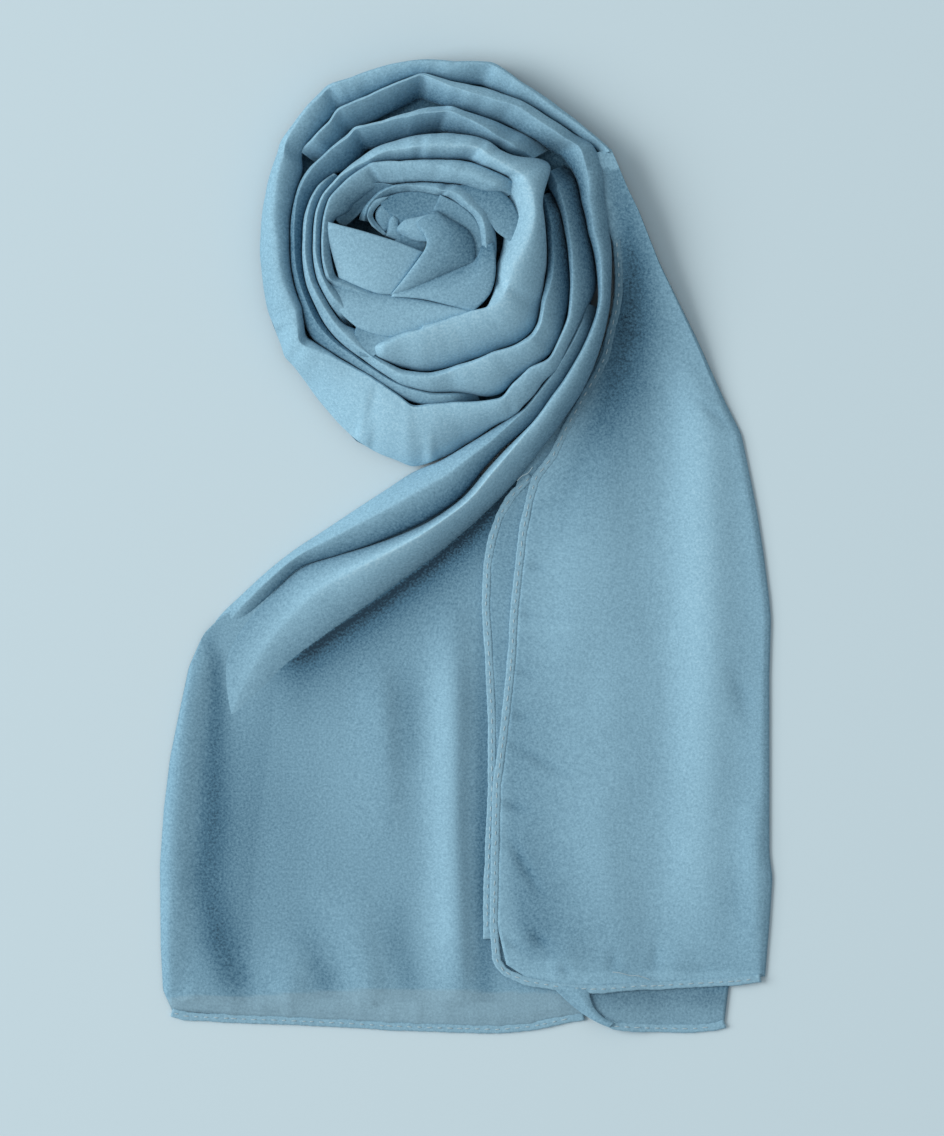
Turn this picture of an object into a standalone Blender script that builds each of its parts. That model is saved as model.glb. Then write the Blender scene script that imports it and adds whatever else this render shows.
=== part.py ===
# Georgette scarf lying flat: its middle wound into a rosette, its two ends below it as tails.
# The tables are in millimetres, the scene in metres. +Z is up and the scarf lies on z = 0.
# +Y runs from the tails to the rosette. Angles turn counterclockwise from +X about the eye.
import math

import bmesh
import bpy
from mathutils import Vector

MM = 0.001

# Cloth and seams
WALL = 1.3                  # modelled thickness of one stretch
WALL_DROP = 1.7             # the same wall measured straight down on a sloping fold
SEAM_GAP = 0.6              # between two stretches that lie side by side
LAYER_PITCH = 1.8           # from one flat layer's underside to the next one's
HEM_WIDTH = 5.2
HEM_HEIGHT = 1.6
HEM_SIDE_STEP = 4.6         # from a hem's middle to the cloth beside it, along X

# Rosette
EYE_X, EYE_Y = -35.0, 200.0
CENTRE_X, CENTRE_Y = -1.0, -2.0     # middle of the scarf's outline, which is the origin
STEP_ANGLE = 7.5            # between two sections of a turn
CORE_RIM_HEIGHT = 5.7       # top of the hidden layers at the rim
CORE_RISE = 6.0             # how much higher they stand in the middle
CORE_SHELF = 6.0            # level border inside the rim
CORE_INSET = 1.0            # how far they stay inside the outermost turn's side
LEAN = 0.44                 # how far each fold tips towards the tails
SLOPE = 0.62                # fall of a fold for each millimetre from its crest
MAX_FALL = 13.0
INNER_REACH = 5.0           # width inside a crest that has no fold further in
LEAST_CREST = 2.3           # a crest's least distance from the fold's side
RIM_FOLD_HEIGHT = 8.0       # where the outermost turn meets the rim

# Crest of each turn: angle, reach from the eye, height
RIGHT_TURN_1 = [
    (22, 136, 21), (38, 119, 24), (52, 115, 25), (65, 116, 24), (78, 109, 26),
    (92, 107, 27), (105, 103, 27), (120, 104, 26), (128, 102, 28), (146, 97, 29),
    (160, 89, 31), (182, 85, 32), (203, 87, 32), (218, 93, 32), (225, 100, 31),
    (235, 97, 32), (246, 95, 34), (258, 99, 34), (268, 108, 34), (277, 112, 35),
    (290, 117, 35), (299, 121, 34), (310, 116, 35), (318, 119, 34), (330, 114, 36),
    (345, 107, 37), (360, 100, 37), (374, 97, 35), (383, 95, 30),
]
RIGHT_TURN_2 = [
    (391, 91, 33), (400, 85, 36), (415, 81, 38), (432, 80, 39), (440, 77, 38),
    (452, 73, 39), (466, 72, 40), (478, 75, 39), (490, 73, 40), (508, 75, 40),
    (526, 76, 40), (545, 75, 41), (562, 78, 40), (578, 82, 39), (590, 86, 39),
    (604, 88, 38), (615, 92, 38), (626, 99, 38), (637, 105, 37), (652, 109, 33),
]
LEFT_TURN_1 = [
    (-60, 147, 24), (-48, 138, 27), (-38, 134, 29), (-28, 131, 31), (-19, 128, 32),
    (-8, 121, 33), (2, 116, 33), (12, 115, 32), (21, 118, 30), (28, 118, 31),
    (36, 111, 33), (46, 105, 34), (57, 99, 34), (68, 95, 35), (78, 96, 34),
    (87, 99, 33), (98, 92, 35), (112, 89, 35), (122, 90, 34), (130, 86, 34),
    (144, 87, 31),
]
FOLD_A_TOP = [(-60, 136, 23), (-50, 130, 27), (-40, 126, 30), (-30, 123, 32), (-22, 121, 31)]
LEFT_TURN_2 = [
    (143, 61, 39), (154, 66, 41), (172, 68, 42), (184, 68, 42), (200, 71, 42),
    (218, 74, 42), (232, 77, 42), (246, 81, 41), (258, 87, 41), (268, 93, 41),
    (280, 94, 42), (292, 92, 43), (304, 94, 43), (314, 101, 42), (323, 102, 41),
    (332, 96, 42), (345, 93, 42), (360, 89, 42), (376, 87, 37),
]
BROAD_TURN = [
    (-110, 79, 38), (-103, 75, 42), (-92, 66, 45), (-78, 62, 46), (-65, 61, 46),
    (-53, 65, 46), (-38, 72, 45), (-26, 70, 45), (-9, 73, 45), (8, 79, 44),
    (24, 81, 43), (34, 76, 44), (46, 72, 45), (58, 69, 44), (76, 61, 45),
    (90, 59, 46), (112, 57, 46), (136, 57, 45), (158, 61, 44), (184, 62, 44),
    (206, 65, 44), (222, 65, 43), (238, 68, 38),
]
HEMMED_TURN = [
    (30, 60, 42), (40, 54, 45), (54, 48, 46), (74, 44, 47), (98, 44, 47),
    (118, 48, 46), (136, 51, 46), (160, 56, 45), (182, 56, 45), (202, 59, 45),
    (212, 60, 44), (222, 54, 43), (236, 49, 43), (252, 47, 43), (270, 49, 43),
    (286, 53, 42), (300, 57, 38),
]
HEART_RING = [
    (255, 40, 38), (270, 41, 41), (286, 43, 42), (302, 50, 43), (312, 54, 44),
    (324, 54, 45), (340, 51, 45), (360, 47, 45), (376, 44, 44), (390, 39, 44),
    (406, 36, 44), (426, 30, 43), (448, 29, 43), (470, 30, 43), (492, 32, 42),
    (510, 32, 40), (528, 31, 36),
]
TURNS = {
    "right_arm_turn_1": RIGHT_TURN_1,
    "right_arm_turn_2": RIGHT_TURN_2,
    "left_arm_turn_1": LEFT_TURN_1,
    "fold_a": FOLD_A_TOP,
    "left_arm_turn_2": LEFT_TURN_2,
    "broad_turn": BROAD_TURN,
    "hemmed_turn": HEMMED_TURN,
    "heart_ring": HEART_RING,
}

# Outline of the rosette: angle, reach. Below 22 degrees it is the left arm's outer side.
RIM = [
    (-60, 162), (-50, 153), (-41, 148), (-36, 144), (-26, 138), (-16, 132), (-6, 128),
    (4, 127), (12, 127), (19, 128), (22, 138), (31, 129), (43, 122), (53, 119),
    (65, 119), (77, 111), (95, 107), (106, 106), (122, 106), (134, 102), (146, 101),
    (154, 99), (177, 96), (197, 100), (214, 108), (227, 113), (239, 121), (249, 131),
    (256, 140), (264, 145), (273, 149), (283, 141), (293, 134), (300, 132),
]

# The two long folds that climb from the left tail. A row is one section: its lower right
# side, its upper left side, where its crest lies between them, and its heights.
FOLD_A_ROWS = [
    # low_x, low_y, high_x, high_y, crest, top, low_top, high_top
    (-149, -54, -157, -45, 0.50, 4.0, 2.6, 2.0),
    (-142, -47, -147, -35, 0.55, 6.5, 3.5, 2.2),
    (-122, -28, -127, -16, 0.60, 9.0, 5.0, 2.6),
    (-106, -12, -109, -2, 0.60, 10.5, 6.0, 3.0),
    (-84, -4, -92, 9, 0.62, 13.5, 7.5, 3.5),
    (-62, 1, -71, 23, 0.62, 16.0, 9.0, 4.0),
    (-40, 9, -51, 36, 0.60, 18.0, 10.0, 4.5),
    (-22, 18, -34, 47, 0.60, 19.5, 11.0, 5.0),
    (-4, 31, -17, 54, 0.62, 21.0, 12.0, 12.0),
    (11, 49, 0, 64, 0.60, 22.0, 14.0, 16.0),
    (22, 61, 13, 72, 0.58, 22.5, 16.0, 18.0),
]
FOLD_B_ROWS = [
    (-131, -80, -144, -54, 0.50, 4.5, 3.1, 2.6),
    (-112, -72, -128, -36, 0.55, 8.0, 3.2, 4.0),
    (-87, -54, -104, -13, 0.60, 12.0, 3.3, 6.0),
    (-68, -41, -82, -5, 0.64, 15.0, 3.4, 8.0),
    (-46, -26, -62, -0.5, 0.68, 17.5, 3.5, 10.0),
    (-23, -9, -39, 8, 0.72, 19.0, 3.8, 12.0),
    (0, 10, -21, 17, 0.76, 20.5, 4.5, 13.0),
    (13, 22, -2, 31, 0.76, 21.5, 5.5, 15.0),
    (27, 36, 12.5, 48, 0.78, 22.5, 6.5, 17.0),
    (39, 50, 24, 60.5, 0.80, 23.5, 7.5, 19.0),
]

# The windings in the rosette's heart, in the same columns
HEART_PETAL_ROWS = [
    (-80, 177, -85, 202, 0.80, 41.0, 37.0, 40.0),
    (-74, 172, -77, 201, 0.86, 44.0, 39.0, 42.0),
    (-64, 168, -64, 198, 0.88, 45.0, 39.0, 43.0),
    (-54, 166, -51, 194, 0.88, 45.0, 39.0, 43.0),
    (-48, 167, -43, 191, 0.86, 44.5, 39.0, 43.0),
    (-42, 174, -36, 188, 0.84, 43.5, 38.0, 42.0),
    (-36, 180, -32, 186, 0.80, 41.0, 36.0, 39.0),
]
HEART_DOME_ROWS = [
    (-37, 167, -42, 168, 0.50, 40.0, 37.0, 38.0),
    (-26, 170.5, -38, 174, 0.72, 45.0, 38.0, 42.0),
    (-12, 175.5, -33, 182, 0.76, 47.0, 39.0, 44.0),
    (1, 181, -27, 191, 0.76, 48.0, 40.0, 45.0),
    (3, 190, -26, 197, 0.70, 48.0, 40.0, 45.0),
    (-1, 200, -25, 204, 0.60, 46.5, 40.0, 44.0),
    (-8, 208, -22, 210, 0.50, 44.0, 39.0, 41.0),
]
HEART_NUB_ROWS = [
    (-44, 198, -46, 202, 0.50, 37.0, 34.0, 35.0),
    (-38, 197, -40, 208, 0.55, 42.0, 37.0, 39.0),
    (-32, 196, -33, 211, 0.60, 43.0, 38.0, 40.0),
    (-28, 200, -27, 210, 0.60, 42.0, 38.0, 39.0),
]

# Middle lines of the rolled hems
RIGHT_TAIL_HEM = [
    (95.5, 195), (97, 177), (97, 161), (95, 148), (92, 137), (89, 122), (84, 111), (77, 99),
    (63, 74), (55, 57), (44, 43), (40, 29), (36, 10), (34, -7), (32, -25), (30, -44),
    (29, -66), (27, -88), (25, -106), (23, -125), (19, -154), (18, -198), (17, -243),
    (19, -266), (24, -273), (38, -279), (62, -283), (78, -284), (88, -284), (98, -283),
    (110, -282), (122, -282), (135, -281), (173, -279), (188, -277),
]

# Outlines of the flat layers, each as four sides that run from corner to corner
LEFT_UPPER = {
    "top": [(-171, -62), (-158.5, -49), (-151, -56), (-146, -58), (-133, -84), (-109, -73),
            (-84, -55), (-54, -35), (-23, -12), (1, 8), (22, 28), (41, 48), (52, 52)],
    "right": [(52, 52), (68, 40), (80, 10), (84, -80), (84, -200), (77, -298)],
    "bottom": [(-190, -295), (-139, -299), (-77, -302), (-17, -305), (21, -306),
               (42, -304), (65, -299), (77, -298)],
    "left": [(-171, -62), (-178, -78), (-185, -111), (-190, -136), (-194, -169),
             (-196.5, -205), (-196, -257), (-194.5, -285), (-190, -295)],
}
LEFT_LOWER = {
    "top": [(-164, -88), (-128, -90), (-84, -61), (-54, -41), (-23, -18), (22, 22), (46, 44)],
    "right": [(46, 44), (60, 34), (72, 8), (77, -80), (78, -200), (72, -281)],
    "bottom": [(-189, -284), (-139, -281), (-62, -277), (11, -278), (72, -281)],
    "left": [(-164, -88), (-176, -112), (-182, -138), (-188, -205), (-189, -257), (-189, -284)],
}
RIGHT_UPPER = {
    "top": [(83, 244), (94.5, 249)],
    "right": [(94.5, 249), (103, 228), (110, 214), (123, 181), (148, 130), (165, 92),
              (175.5, 71), (179.5, 52), (185.5, 22), (190, -7), (193.5, -35), (194.5, -48),
              (193.5, -83), (193.5, -136), (193.5, -198), (195.5, -213), (193.5, -243),
              (191, -273)],
    "bottom": [(27, -267), (38, -274), (62, -279), (83, -280), (115, -278), (144, -277),
               (173, -275), (191, -273)],
    "left": [(83, 244), (91, 232), (95, 222)] + [(x + HEM_SIDE_STEP, y) for x, y in RIGHT_TAIL_HEM
                                      if y > -260] + [(27, -267)],
}
RIGHT_LOWER = {
    "top": [(97, 205), (104, 205)],
    "right": [(104, 205), (132, 135), (158, 80), (172, 20), (182, -40), (182, -140),
              (174, -230), (165, -303)],
    "bottom": [(20, -262), (40, -272), (56, -278), (84, -298), (95, -305), (144, -306.2),
               (165, -303)],
    "left": [(97, 205), (103, 170), (100, 145), (92, 116), (78, 90), (60, 60), (48, 42),
             (33, 33), (25, 19), (20, 4), (17, -13), (16, -40), (18, -70), (20, -113),
             (20, -154), (18, -198), (17, -245), (20, -262)],
}

# Soft folds in the flat layers: where each starts and ends, half its width, and its height
LEFT_FOLDS = [
    # top_x, top_y, bottom_x, bottom_y, half_width, height
    (-14, -45, -20, -290, 11, 2.6),
    (-54, -62, -56, -150, 8, 1.8),
    (-77, -150, -80, -262, 10, 1.2),
    (-178, -95, -189, -280, 5, 1.6),
    (-146, -80, -152, -180, 8, 1.4),
    (-100, -95, -112, -280, 14, 0.9),
]
RIGHT_FOLDS = [
    (148, 72, 152, -60, 12, 2.4),
    (150, -70, 148, -190, 11, 1.4),
    (112, 90, 110, -30, 10, 1.6),
    (62, 2, 72, -40, 8, 1.2),
    (180, -130, 180, -260, 7, 1.5),
    (44, -160, 58, -250, 8, 1.4),
    (66, -120, 60, -70, 7, 1.0),
]

# Where the right tail climbs to the rosette
LIFT_HEIGHT = 17.0
LIFT_FROM_Y, LIFT_TO_Y = 70.0, 235.0
# Where it comes down beside the left tail and above its end
STEP_X, STEP_RUN_X = 86.0, 46.0
STEP_Y, STEP_RUN_Y = 56.0, 56.0

INNER_HEM = [
    (41, 44), (29, 32), (21, 19), (16, 4), (13, -13), (12, -40), (14, -70), (16, -113),
    (16, -154), (14, -198), (13, -228), (13, -252),
]
LOWER_HEM = [(87, -304), (95, -308), (115, -309), (144, -309.5), (160, -308), (165, -306)]
LEFT_TAIL_HEM = [
    (-189, -299), (-180, -301.5), (-139, -303.5), (-121, -304), (-77, -306), (-45, -308),
    (-17, -309), (21, -310), (42, -308), (65, -303), (75, -301.5),
]
CORNER_FLAP_ROWS = [
    (58, -289.0, 61, -287.5, 0.50, 7.2, 6.6, 6.6),
    (66, -294.5, 74, -288.0, 0.60, 8.0, 6.8, 7.0),
    (74, -299.0, 80, -291.0, 0.60, 8.2, 6.8, 7.0),
    (80, -302.5, 85, -297.5, 0.50, 7.4, 6.7, 6.8),
]
CORNER_FLAP_FOOT = 5.4

# Finish
CLOTH_BLUE = (0.235, 0.395, 0.485)
SHADE_BLUE = (0.190, 0.335, 0.425)
HEM_BLUE = (0.215, 0.365, 0.440)
CLOTH_ROUGHNESS = 0.85


def clear_scene():
    for old in list(bpy.data.objects):
        bpy.data.objects.remove(old)


def make_collection(name):
    collection = bpy.data.collections.new(name)
    bpy.context.scene.collection.children.link(collection)
    return collection


def make_material(name, colour):
    material = bpy.data.materials.new(name)
    material.use_nodes = True
    shader = material.node_tree.nodes["Principled BSDF"]
    shader.inputs["Base Color"].default_value = (*colour, 1.0)
    shader.inputs["Roughness"].default_value = CLOTH_ROUGHNESS
    shader.inputs["Metallic"].default_value = 0.0
    return material


def smooth_step(value):
    value = min(max(value, 0.0), 1.0)
    return value * value * (3.0 - 2.0 * value)


def between(rows, at, column):
    """Value of one column, read between the two rows around a place in the first column."""
    if at <= rows[0][0]:
        return rows[0][column]
    for low, high in zip(rows, rows[1:]):
        if at <= high[0]:
            share = (at - low[0]) / (high[0] - low[0])
            return low[column] + share * (high[column] - low[column])
    return rows[-1][column]


def along(points, share):
    """Point at a share of a line's length."""
    lengths = [math.dist(a, b) for a, b in zip(points, points[1:])]
    left = share * sum(lengths)
    for a, b, length in zip(points, points[1:], lengths):
        if left <= length or b is points[-1]:
            part = min(left / length, 1.0)
            return (a[0] + part * (b[0] - a[0]), a[1] + part * (b[1] - a[1]))
        left -= length
    return points[-1]


def place(mesh_name, collection, mesh, material):
    for face in mesh.polygons:
        face.use_smooth = True
    mesh.set_sharp_from_angle(angle=math.radians(50))
    mesh.materials.append(material)
    piece = bpy.data.objects.new(mesh_name, mesh)
    piece.location = Vector((-CENTRE_X, -CENTRE_Y, 0.0)) * MM
    collection.objects.link(piece)
    return piece


def loft(name, rings, collection, material):
    """Closed solid through rings of equal count, in millimetres, with flat ends."""
    shape = bmesh.new()
    rows = [[shape.verts.new(Vector(point) * MM) for point in ring] for ring in rings]
    count = len(rings[0])
    for low, high in zip(rows, rows[1:]):
        for i in range(count):
            j = (i + 1) % count
            shape.faces.new((low[i], low[j], high[j], high[i]))
    shape.faces.new(list(reversed(rows[0])))
    shape.faces.new(rows[-1])
    bmesh.ops.recalc_face_normals(shape, faces=shape.faces)
    mesh = bpy.data.meshes.new(name)
    shape.to_mesh(mesh)
    shape.free()
    return place(name, collection, mesh, material)


def fold_section(low, high, crest, top, low_top, high_top, low_foot, high_foot):
    """One section through a folded wall: an arch that is open below.

    low and high are its two sides in plan, crest the share of the way from low to high
    at which it is highest, and top, low_top and high_top are its outer heights there.
    """
    width = math.dist(low, high)
    crest = min(max(crest, LEAST_CREST / width), 1.0 - LEAST_CREST / width)

    def height(share):
        if share < crest:
            away = 1.0 - share / crest
            return top - (top - low_top) * away ** 1.5
        away = (share - crest) / (1.0 - crest)
        return top - (top - high_top) * away ** 1.5

    def point(share, z):
        return (low[0] + share * (high[0] - low[0]), low[1] + share * (high[1] - low[1]), z)

    shares = [0.0, 0.5 * crest, crest, 0.5 * (1.0 + crest), 1.0]
    outer = [point(share, height(share)) for share in shares]
    inset = WALL / width
    inner = []
    for share in shares:
        inside = inset + share * (1.0 - 2.0 * inset)
        foot = low_foot + inside * (high_foot - low_foot)
        inner.append(point(inside, max(height(inside) - WALL_DROP, foot + 0.5)))
    ring = [point(0.0, low_foot)] + outer + [point(1.0, high_foot)]
    ring += [point(1.0 - inset, high_foot)] + inner[::-1] + [point(inset, low_foot)]
    return ring


def lean(angle):
    """Share of the way to the next crest out at which two folds meet."""
    return 0.5 - LEAN * math.sin(math.radians(angle))


def crests_at(angle):
    """Every turn's crest that crosses one direction, as reach and turn."""
    found = []
    for name, rows in TURNS.items():
        turn = math.ceil((rows[0][0] - 1e-6 - angle) / 360.0) * 360.0 + angle
        while turn <= rows[-1][0] + 1e-6:
            found.append((between(rows, turn, 1), name, turn))
            turn += 360.0
    return sorted(found)


def core_edge(angle):
    """Reach of the hidden layers, which stop inside the folds on the right."""
    angle = (angle + 60.0) % 360.0 - 60.0
    if angle < 18.0:
        return turn_sides("right_arm_turn_1", angle + 360.0)[0] - CORE_INSET
    return between(RIM, angle, 1) - 0.5


def core_top(angle, reach):
    shelf = core_edge(angle) - CORE_SHELF
    if reach >= shelf:
        return CORE_RIM_HEIGHT
    return CORE_RIM_HEIGHT + CORE_RISE * (1.0 - (reach / shelf) ** 2)


def foot_height(angle, reach):
    """Where a fold's side stands: on the hidden layers, or on the floor beside them."""
    turned = (angle + 60.0) % 360.0 - 60.0
    if turned < 5.0 and reach > core_edge(angle) + 1.5 * CORE_INSET:
        return 0.0
    return core_top(angle, min(reach, core_edge(angle))) + 0.3


def turn_sides(name, angle):
    """Reach of a turn's two sides, outer and inner, halfway into the seam gaps."""
    reach = between(TURNS[name], angle, 1)
    others = [r for r, other, turn in crests_at(angle % 360.0)
              if not (other == name and abs(turn - angle) < 1.0)]
    share = lean(angle)
    beyond = [r for r in others if r > reach]
    within = [r for r in others if r < reach]
    turned = (angle + 60.0) % 360.0 - 60.0
    outer = between(RIM, turned, 1)
    if beyond:
        outer = reach + share * (min(beyond) - reach)
    inner = reach - INNER_REACH
    if within:
        inner = max(within) + share * (reach - max(within))
    return outer - SEAM_GAP / 2, max(inner, reach - 3.0 * INNER_REACH) + SEAM_GAP / 2


def around(angle, reach):
    angle = math.radians(angle)
    return (EYE_X + reach * math.cos(angle), EYE_Y + reach * math.sin(angle))


def turn_sections(name):
    """Sections of one turn of the rosette, one every few degrees along it."""
    rows = TURNS[name]
    first = math.ceil(rows[0][0] / STEP_ANGLE)
    last = math.floor(rows[-1][0] / STEP_ANGLE)
    sections = []
    for step in range(first, last + 1):
        angle = step * STEP_ANGLE
        reach = between(rows, angle, 1)
        top = between(rows, angle, 2)
        outer, inner = turn_sides(name, angle)
        at_rim = outer + SEAM_GAP >= between(RIM, (angle + 60.0) % 360.0 - 60.0, 1)
        least = RIM_FOLD_HEIGHT if at_rim else top - MAX_FALL
        outer_top = max(top - (0.9 if at_rim else SLOPE) * (outer - reach) - 0.8, least)
        inner_top = max(top - SLOPE * (reach - inner) - 0.8, top - MAX_FALL)
        sections.append(fold_section(
            around(angle, outer), around(angle, inner), (outer - reach) / (outer - inner),
            top, outer_top, inner_top, foot_height(angle, outer), foot_height(angle, inner)))
    return sections


def row_sections(rows, foot):
    return [fold_section((row[0], row[1]), (row[2], row[3]), *row[4:8], foot, foot)
            for row in rows]


def heart_sections(rows):
    """Sections of a winding in the heart, which stands on the hidden layers."""
    sections = []
    for row in rows:
        feet = []
        for x, y in ((row[0], row[1]), (row[2], row[3])):
            angle = math.degrees(math.atan2(y - EYE_Y, x - EYE_X))
            feet.append(core_top(angle, math.dist((x, y), (EYE_X, EYE_Y))) + 0.3)
        sections.append(fold_section((row[0], row[1]), (row[2], row[3]), *row[4:8], *feet))
    return sections


def build_core(collection, material):
    """The wound layers that don't show: one rounded solid with two layer edges at its rim."""
    steps = range(int(360 / STEP_ANGLE))
    angles = [step * STEP_ANGLE for step in steps]
    profile = [(1.4, 0.0), (0.0, 1.2), (0.2, 2.3), (1.5, 2.8), (0.2, 3.4), (0.0, 4.6),
               (1.4, CORE_RIM_HEIGHT)]
    rings = []
    for inset, z in profile:
        rings.append([(*around(angle, core_edge(angle) - inset), z) for angle in angles])
    for share in (1.0, 0.85, 0.6, 0.3):
        ring = []
        for angle in angles:
            reach = share * (core_edge(angle) - CORE_SHELF)
            ring.append((*around(angle, reach), core_top(angle, reach)))
        rings.append(ring)
    return loft("rosette_core", rings, collection, material)


def tail_point(sides, across, down):
    """Point inside four sides, blended from all of them."""
    top = along(sides["top"], across)
    bottom = along(sides["bottom"], across)
    left = along(sides["left"], down)
    right = along(sides["right"], down)
    corners = (sides["top"][0], sides["top"][-1], sides["bottom"][0], sides["bottom"][-1])
    point = []
    for axis in (0, 1):
        edges = ((1 - down) * top[axis] + down * bottom[axis]
                 + (1 - across) * left[axis] + across * right[axis])
        blend = ((1 - across) * (1 - down) * corners[0][axis]
                 + across * (1 - down) * corners[1][axis]
                 + (1 - across) * down * corners[2][axis]
                 + across * down * corners[3][axis])
        point.append(edges - blend)
    return point


def fold_height(folds, x, y):
    """Height that the soft folds add at a place."""
    total = 0.0
    for top_x, top_y, bottom_x, bottom_y, half_width, height in folds:
        down = (top_y - y) / (top_y - bottom_y)
        if not 0.0 < down < 1.0:
            continue
        middle = top_x + down * (bottom_x - top_x)
        ends = math.sin(math.pi * down) ** 0.7
        total += height * ends * math.exp(-((x - middle) / half_width) ** 2)
    return total


def left_upper_base(x, y, across, down):
    if across == 0.0 or down == 1.0:
        return 0.0
    inside = smooth_step(across / 0.06) * smooth_step((1.0 - down) / 0.06)
    hidden = smooth_step((6.0 - x) / 16.0)
    return LAYER_PITCH + fold_height(LEFT_FOLDS, x, y) * inside * hidden


def right_lower_base(x, y, across, down):
    over_left = (1.0 - smooth_step((x - STEP_X) / STEP_RUN_X))
    over_left *= 1.0 - smooth_step((y - STEP_Y) / STEP_RUN_Y)
    climb = LIFT_HEIGHT * smooth_step((y - LIFT_FROM_Y) / (LIFT_TO_Y - LIFT_FROM_Y))
    return 2.0 * LAYER_PITCH * over_left + climb


def right_upper_base(x, y, across, down):
    base = right_lower_base(x, y, across, down)
    if across == 1.0:
        return 0.0
    inside = smooth_step((1.0 - across) / 0.1) * smooth_step(across / 0.1)
    return base + LAYER_PITCH + fold_height(RIGHT_FOLDS, x, y) * inside


def flat_base(x, y, across, down):
    return 0.0


def build_layer(name, sides, base, across_shares, down_shares, collection, material):
    """A flat layer: a grid laid on its underside, thickened upwards."""
    shape = bmesh.new()
    columns, rows = len(across_shares), len(down_shares)
    bmesh.ops.create_grid(shape, x_segments=columns - 1, y_segments=rows - 1, size=0.5)
    for vertex in shape.verts:
        across = across_shares[round((vertex.co.x + 0.5) * (columns - 1))]
        down = down_shares[round((0.5 - vertex.co.y) * (rows - 1))]
        x, y = tail_point(sides, across, down)
        vertex.co = Vector((x, y, base(x, y, across, down))) * MM
    mesh = bpy.data.meshes.new(name)
    shape.to_mesh(mesh)
    shape.free()
    piece = place(name, collection, mesh, material)
    wall = piece.modifiers.new("cloth wall", "SOLIDIFY")
    wall.thickness = WALL * MM
    wall.offset = 1.0
    wall.use_even_offset = True
    return piece


def shares(count, start=None, end=None):
    """Even shares from 0 to 1, with one more close to an edge that turns down."""
    values = [i / count for i in range(count + 1)]
    if start:
        values.insert(1, start)
    if end:
        values.insert(-1, 1.0 - end)
    return values


def build_hem(name, middle, level, collection, material):
    """A rolled hem: a low rounded ribbon along the cloth's edge."""
    rings = []
    for i, (x, y) in enumerate(middle):
        before = middle[max(i - 1, 0)]
        after = middle[min(i + 1, len(middle) - 1)]
        run = Vector((after[0] - before[0], after[1] - before[1])).normalized()
        side = Vector((-run.y, run.x)) * HEM_WIDTH / 2
        z = level(x, y)
        ring = []
        for share, up in ((-1.0, 0.28), (-0.72, 0.0), (0.72, 0.0), (1.0, 0.28), (1.0, 0.62),
                          (0.55, 1.0), (-0.55, 1.0), (-1.0, 0.62)):
            ring.append((x + share * side.x, y + share * side.y, z + up * HEM_HEIGHT))
        rings.append(ring)
    return loft(name, rings, collection, material)


def build_turns(collection, cloth, shade):
    for name in TURNS:
        sections = turn_sections(name)
        if name == "fold_a":
            sections = row_sections(FOLD_A_ROWS, 0.0) + sections
        if name == "left_arm_turn_1":
            sections = row_sections(FOLD_B_ROWS, 0.0) + sections
        loft(name, sections, collection, cloth if "right" in name else shade)


def build_heart(collection, cloth, shade):
    loft("heart_petal", heart_sections(HEART_PETAL_ROWS), collection, cloth)
    loft("heart_dome", heart_sections(HEART_DOME_ROWS), collection, cloth)
    loft("heart_nub", heart_sections(HEART_NUB_ROWS), collection, shade)


def build_tails(collection, cloth, shade):
    build_layer("left_tail_lower", LEFT_LOWER, flat_base, shares(10), shares(8),
                collection, shade)
    build_layer("left_tail_upper", LEFT_UPPER, left_upper_base, shares(24, start=0.012),
                shares(14, end=0.04), collection, cloth)
    build_layer("right_tail_lower", RIGHT_LOWER, right_lower_base, shares(9), shares(22),
                collection, shade)
    build_layer("right_tail_upper", RIGHT_UPPER, right_upper_base, shares(12, end=0.035),
                shares(24), collection, cloth)


def build_hems(collection, hem):
    def upper_level(x, y):
        return right_lower_base(x, y, 0.5, 0.5) + LAYER_PITCH

    def lower_level(x, y):
        return right_lower_base(x, y, 0.5, 0.5)

    def floor_level(x, y):
        return 0.0

    build_hem("right_tail_hem", RIGHT_TAIL_HEM, upper_level, collection, hem)
    build_hem("inner_hem", INNER_HEM, lower_level, collection, hem)
    build_hem("lower_hem", LOWER_HEM, lower_level, collection, hem)
    build_hem("left_tail_hem", LEFT_TAIL_HEM, floor_level, collection, hem)
    loft("corner_flap", row_sections(CORNER_FLAP_ROWS, CORNER_FLAP_FOOT), collection, hem)


def main():
    clear_scene()
    scarf = make_collection("georgette_scarf")
    cloth = make_material("georgette", CLOTH_BLUE)
    shade = make_material("georgette in shade", SHADE_BLUE)
    hem = make_material("rolled hem", HEM_BLUE)
    build_core(scarf, shade)
    build_turns(scarf, cloth, shade)
    build_heart(scarf, cloth, shade)
    build_tails(scarf, cloth, shade)
    build_hems(scarf, hem)


main()
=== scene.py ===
# Georgette scarf: the middle wound into a rosette, the two hemmed ends laid below it.
# Everything is read in millimetres on the scarf's own drawing and set down in metres.
import math
import random

import bmesh
import bpy
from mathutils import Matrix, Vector, noise


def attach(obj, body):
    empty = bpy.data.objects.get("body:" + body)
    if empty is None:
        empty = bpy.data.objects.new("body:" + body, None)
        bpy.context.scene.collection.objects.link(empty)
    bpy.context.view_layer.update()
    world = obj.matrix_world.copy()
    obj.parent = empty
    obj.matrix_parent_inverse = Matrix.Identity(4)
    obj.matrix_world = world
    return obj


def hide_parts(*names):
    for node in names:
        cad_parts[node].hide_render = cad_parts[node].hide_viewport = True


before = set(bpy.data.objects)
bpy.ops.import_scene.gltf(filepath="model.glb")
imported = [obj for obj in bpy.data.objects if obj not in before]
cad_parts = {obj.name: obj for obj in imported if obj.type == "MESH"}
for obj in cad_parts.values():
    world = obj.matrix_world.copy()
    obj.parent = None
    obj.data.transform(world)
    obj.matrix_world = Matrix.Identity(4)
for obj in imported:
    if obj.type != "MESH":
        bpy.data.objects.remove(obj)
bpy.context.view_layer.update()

mm = 0.001
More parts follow.
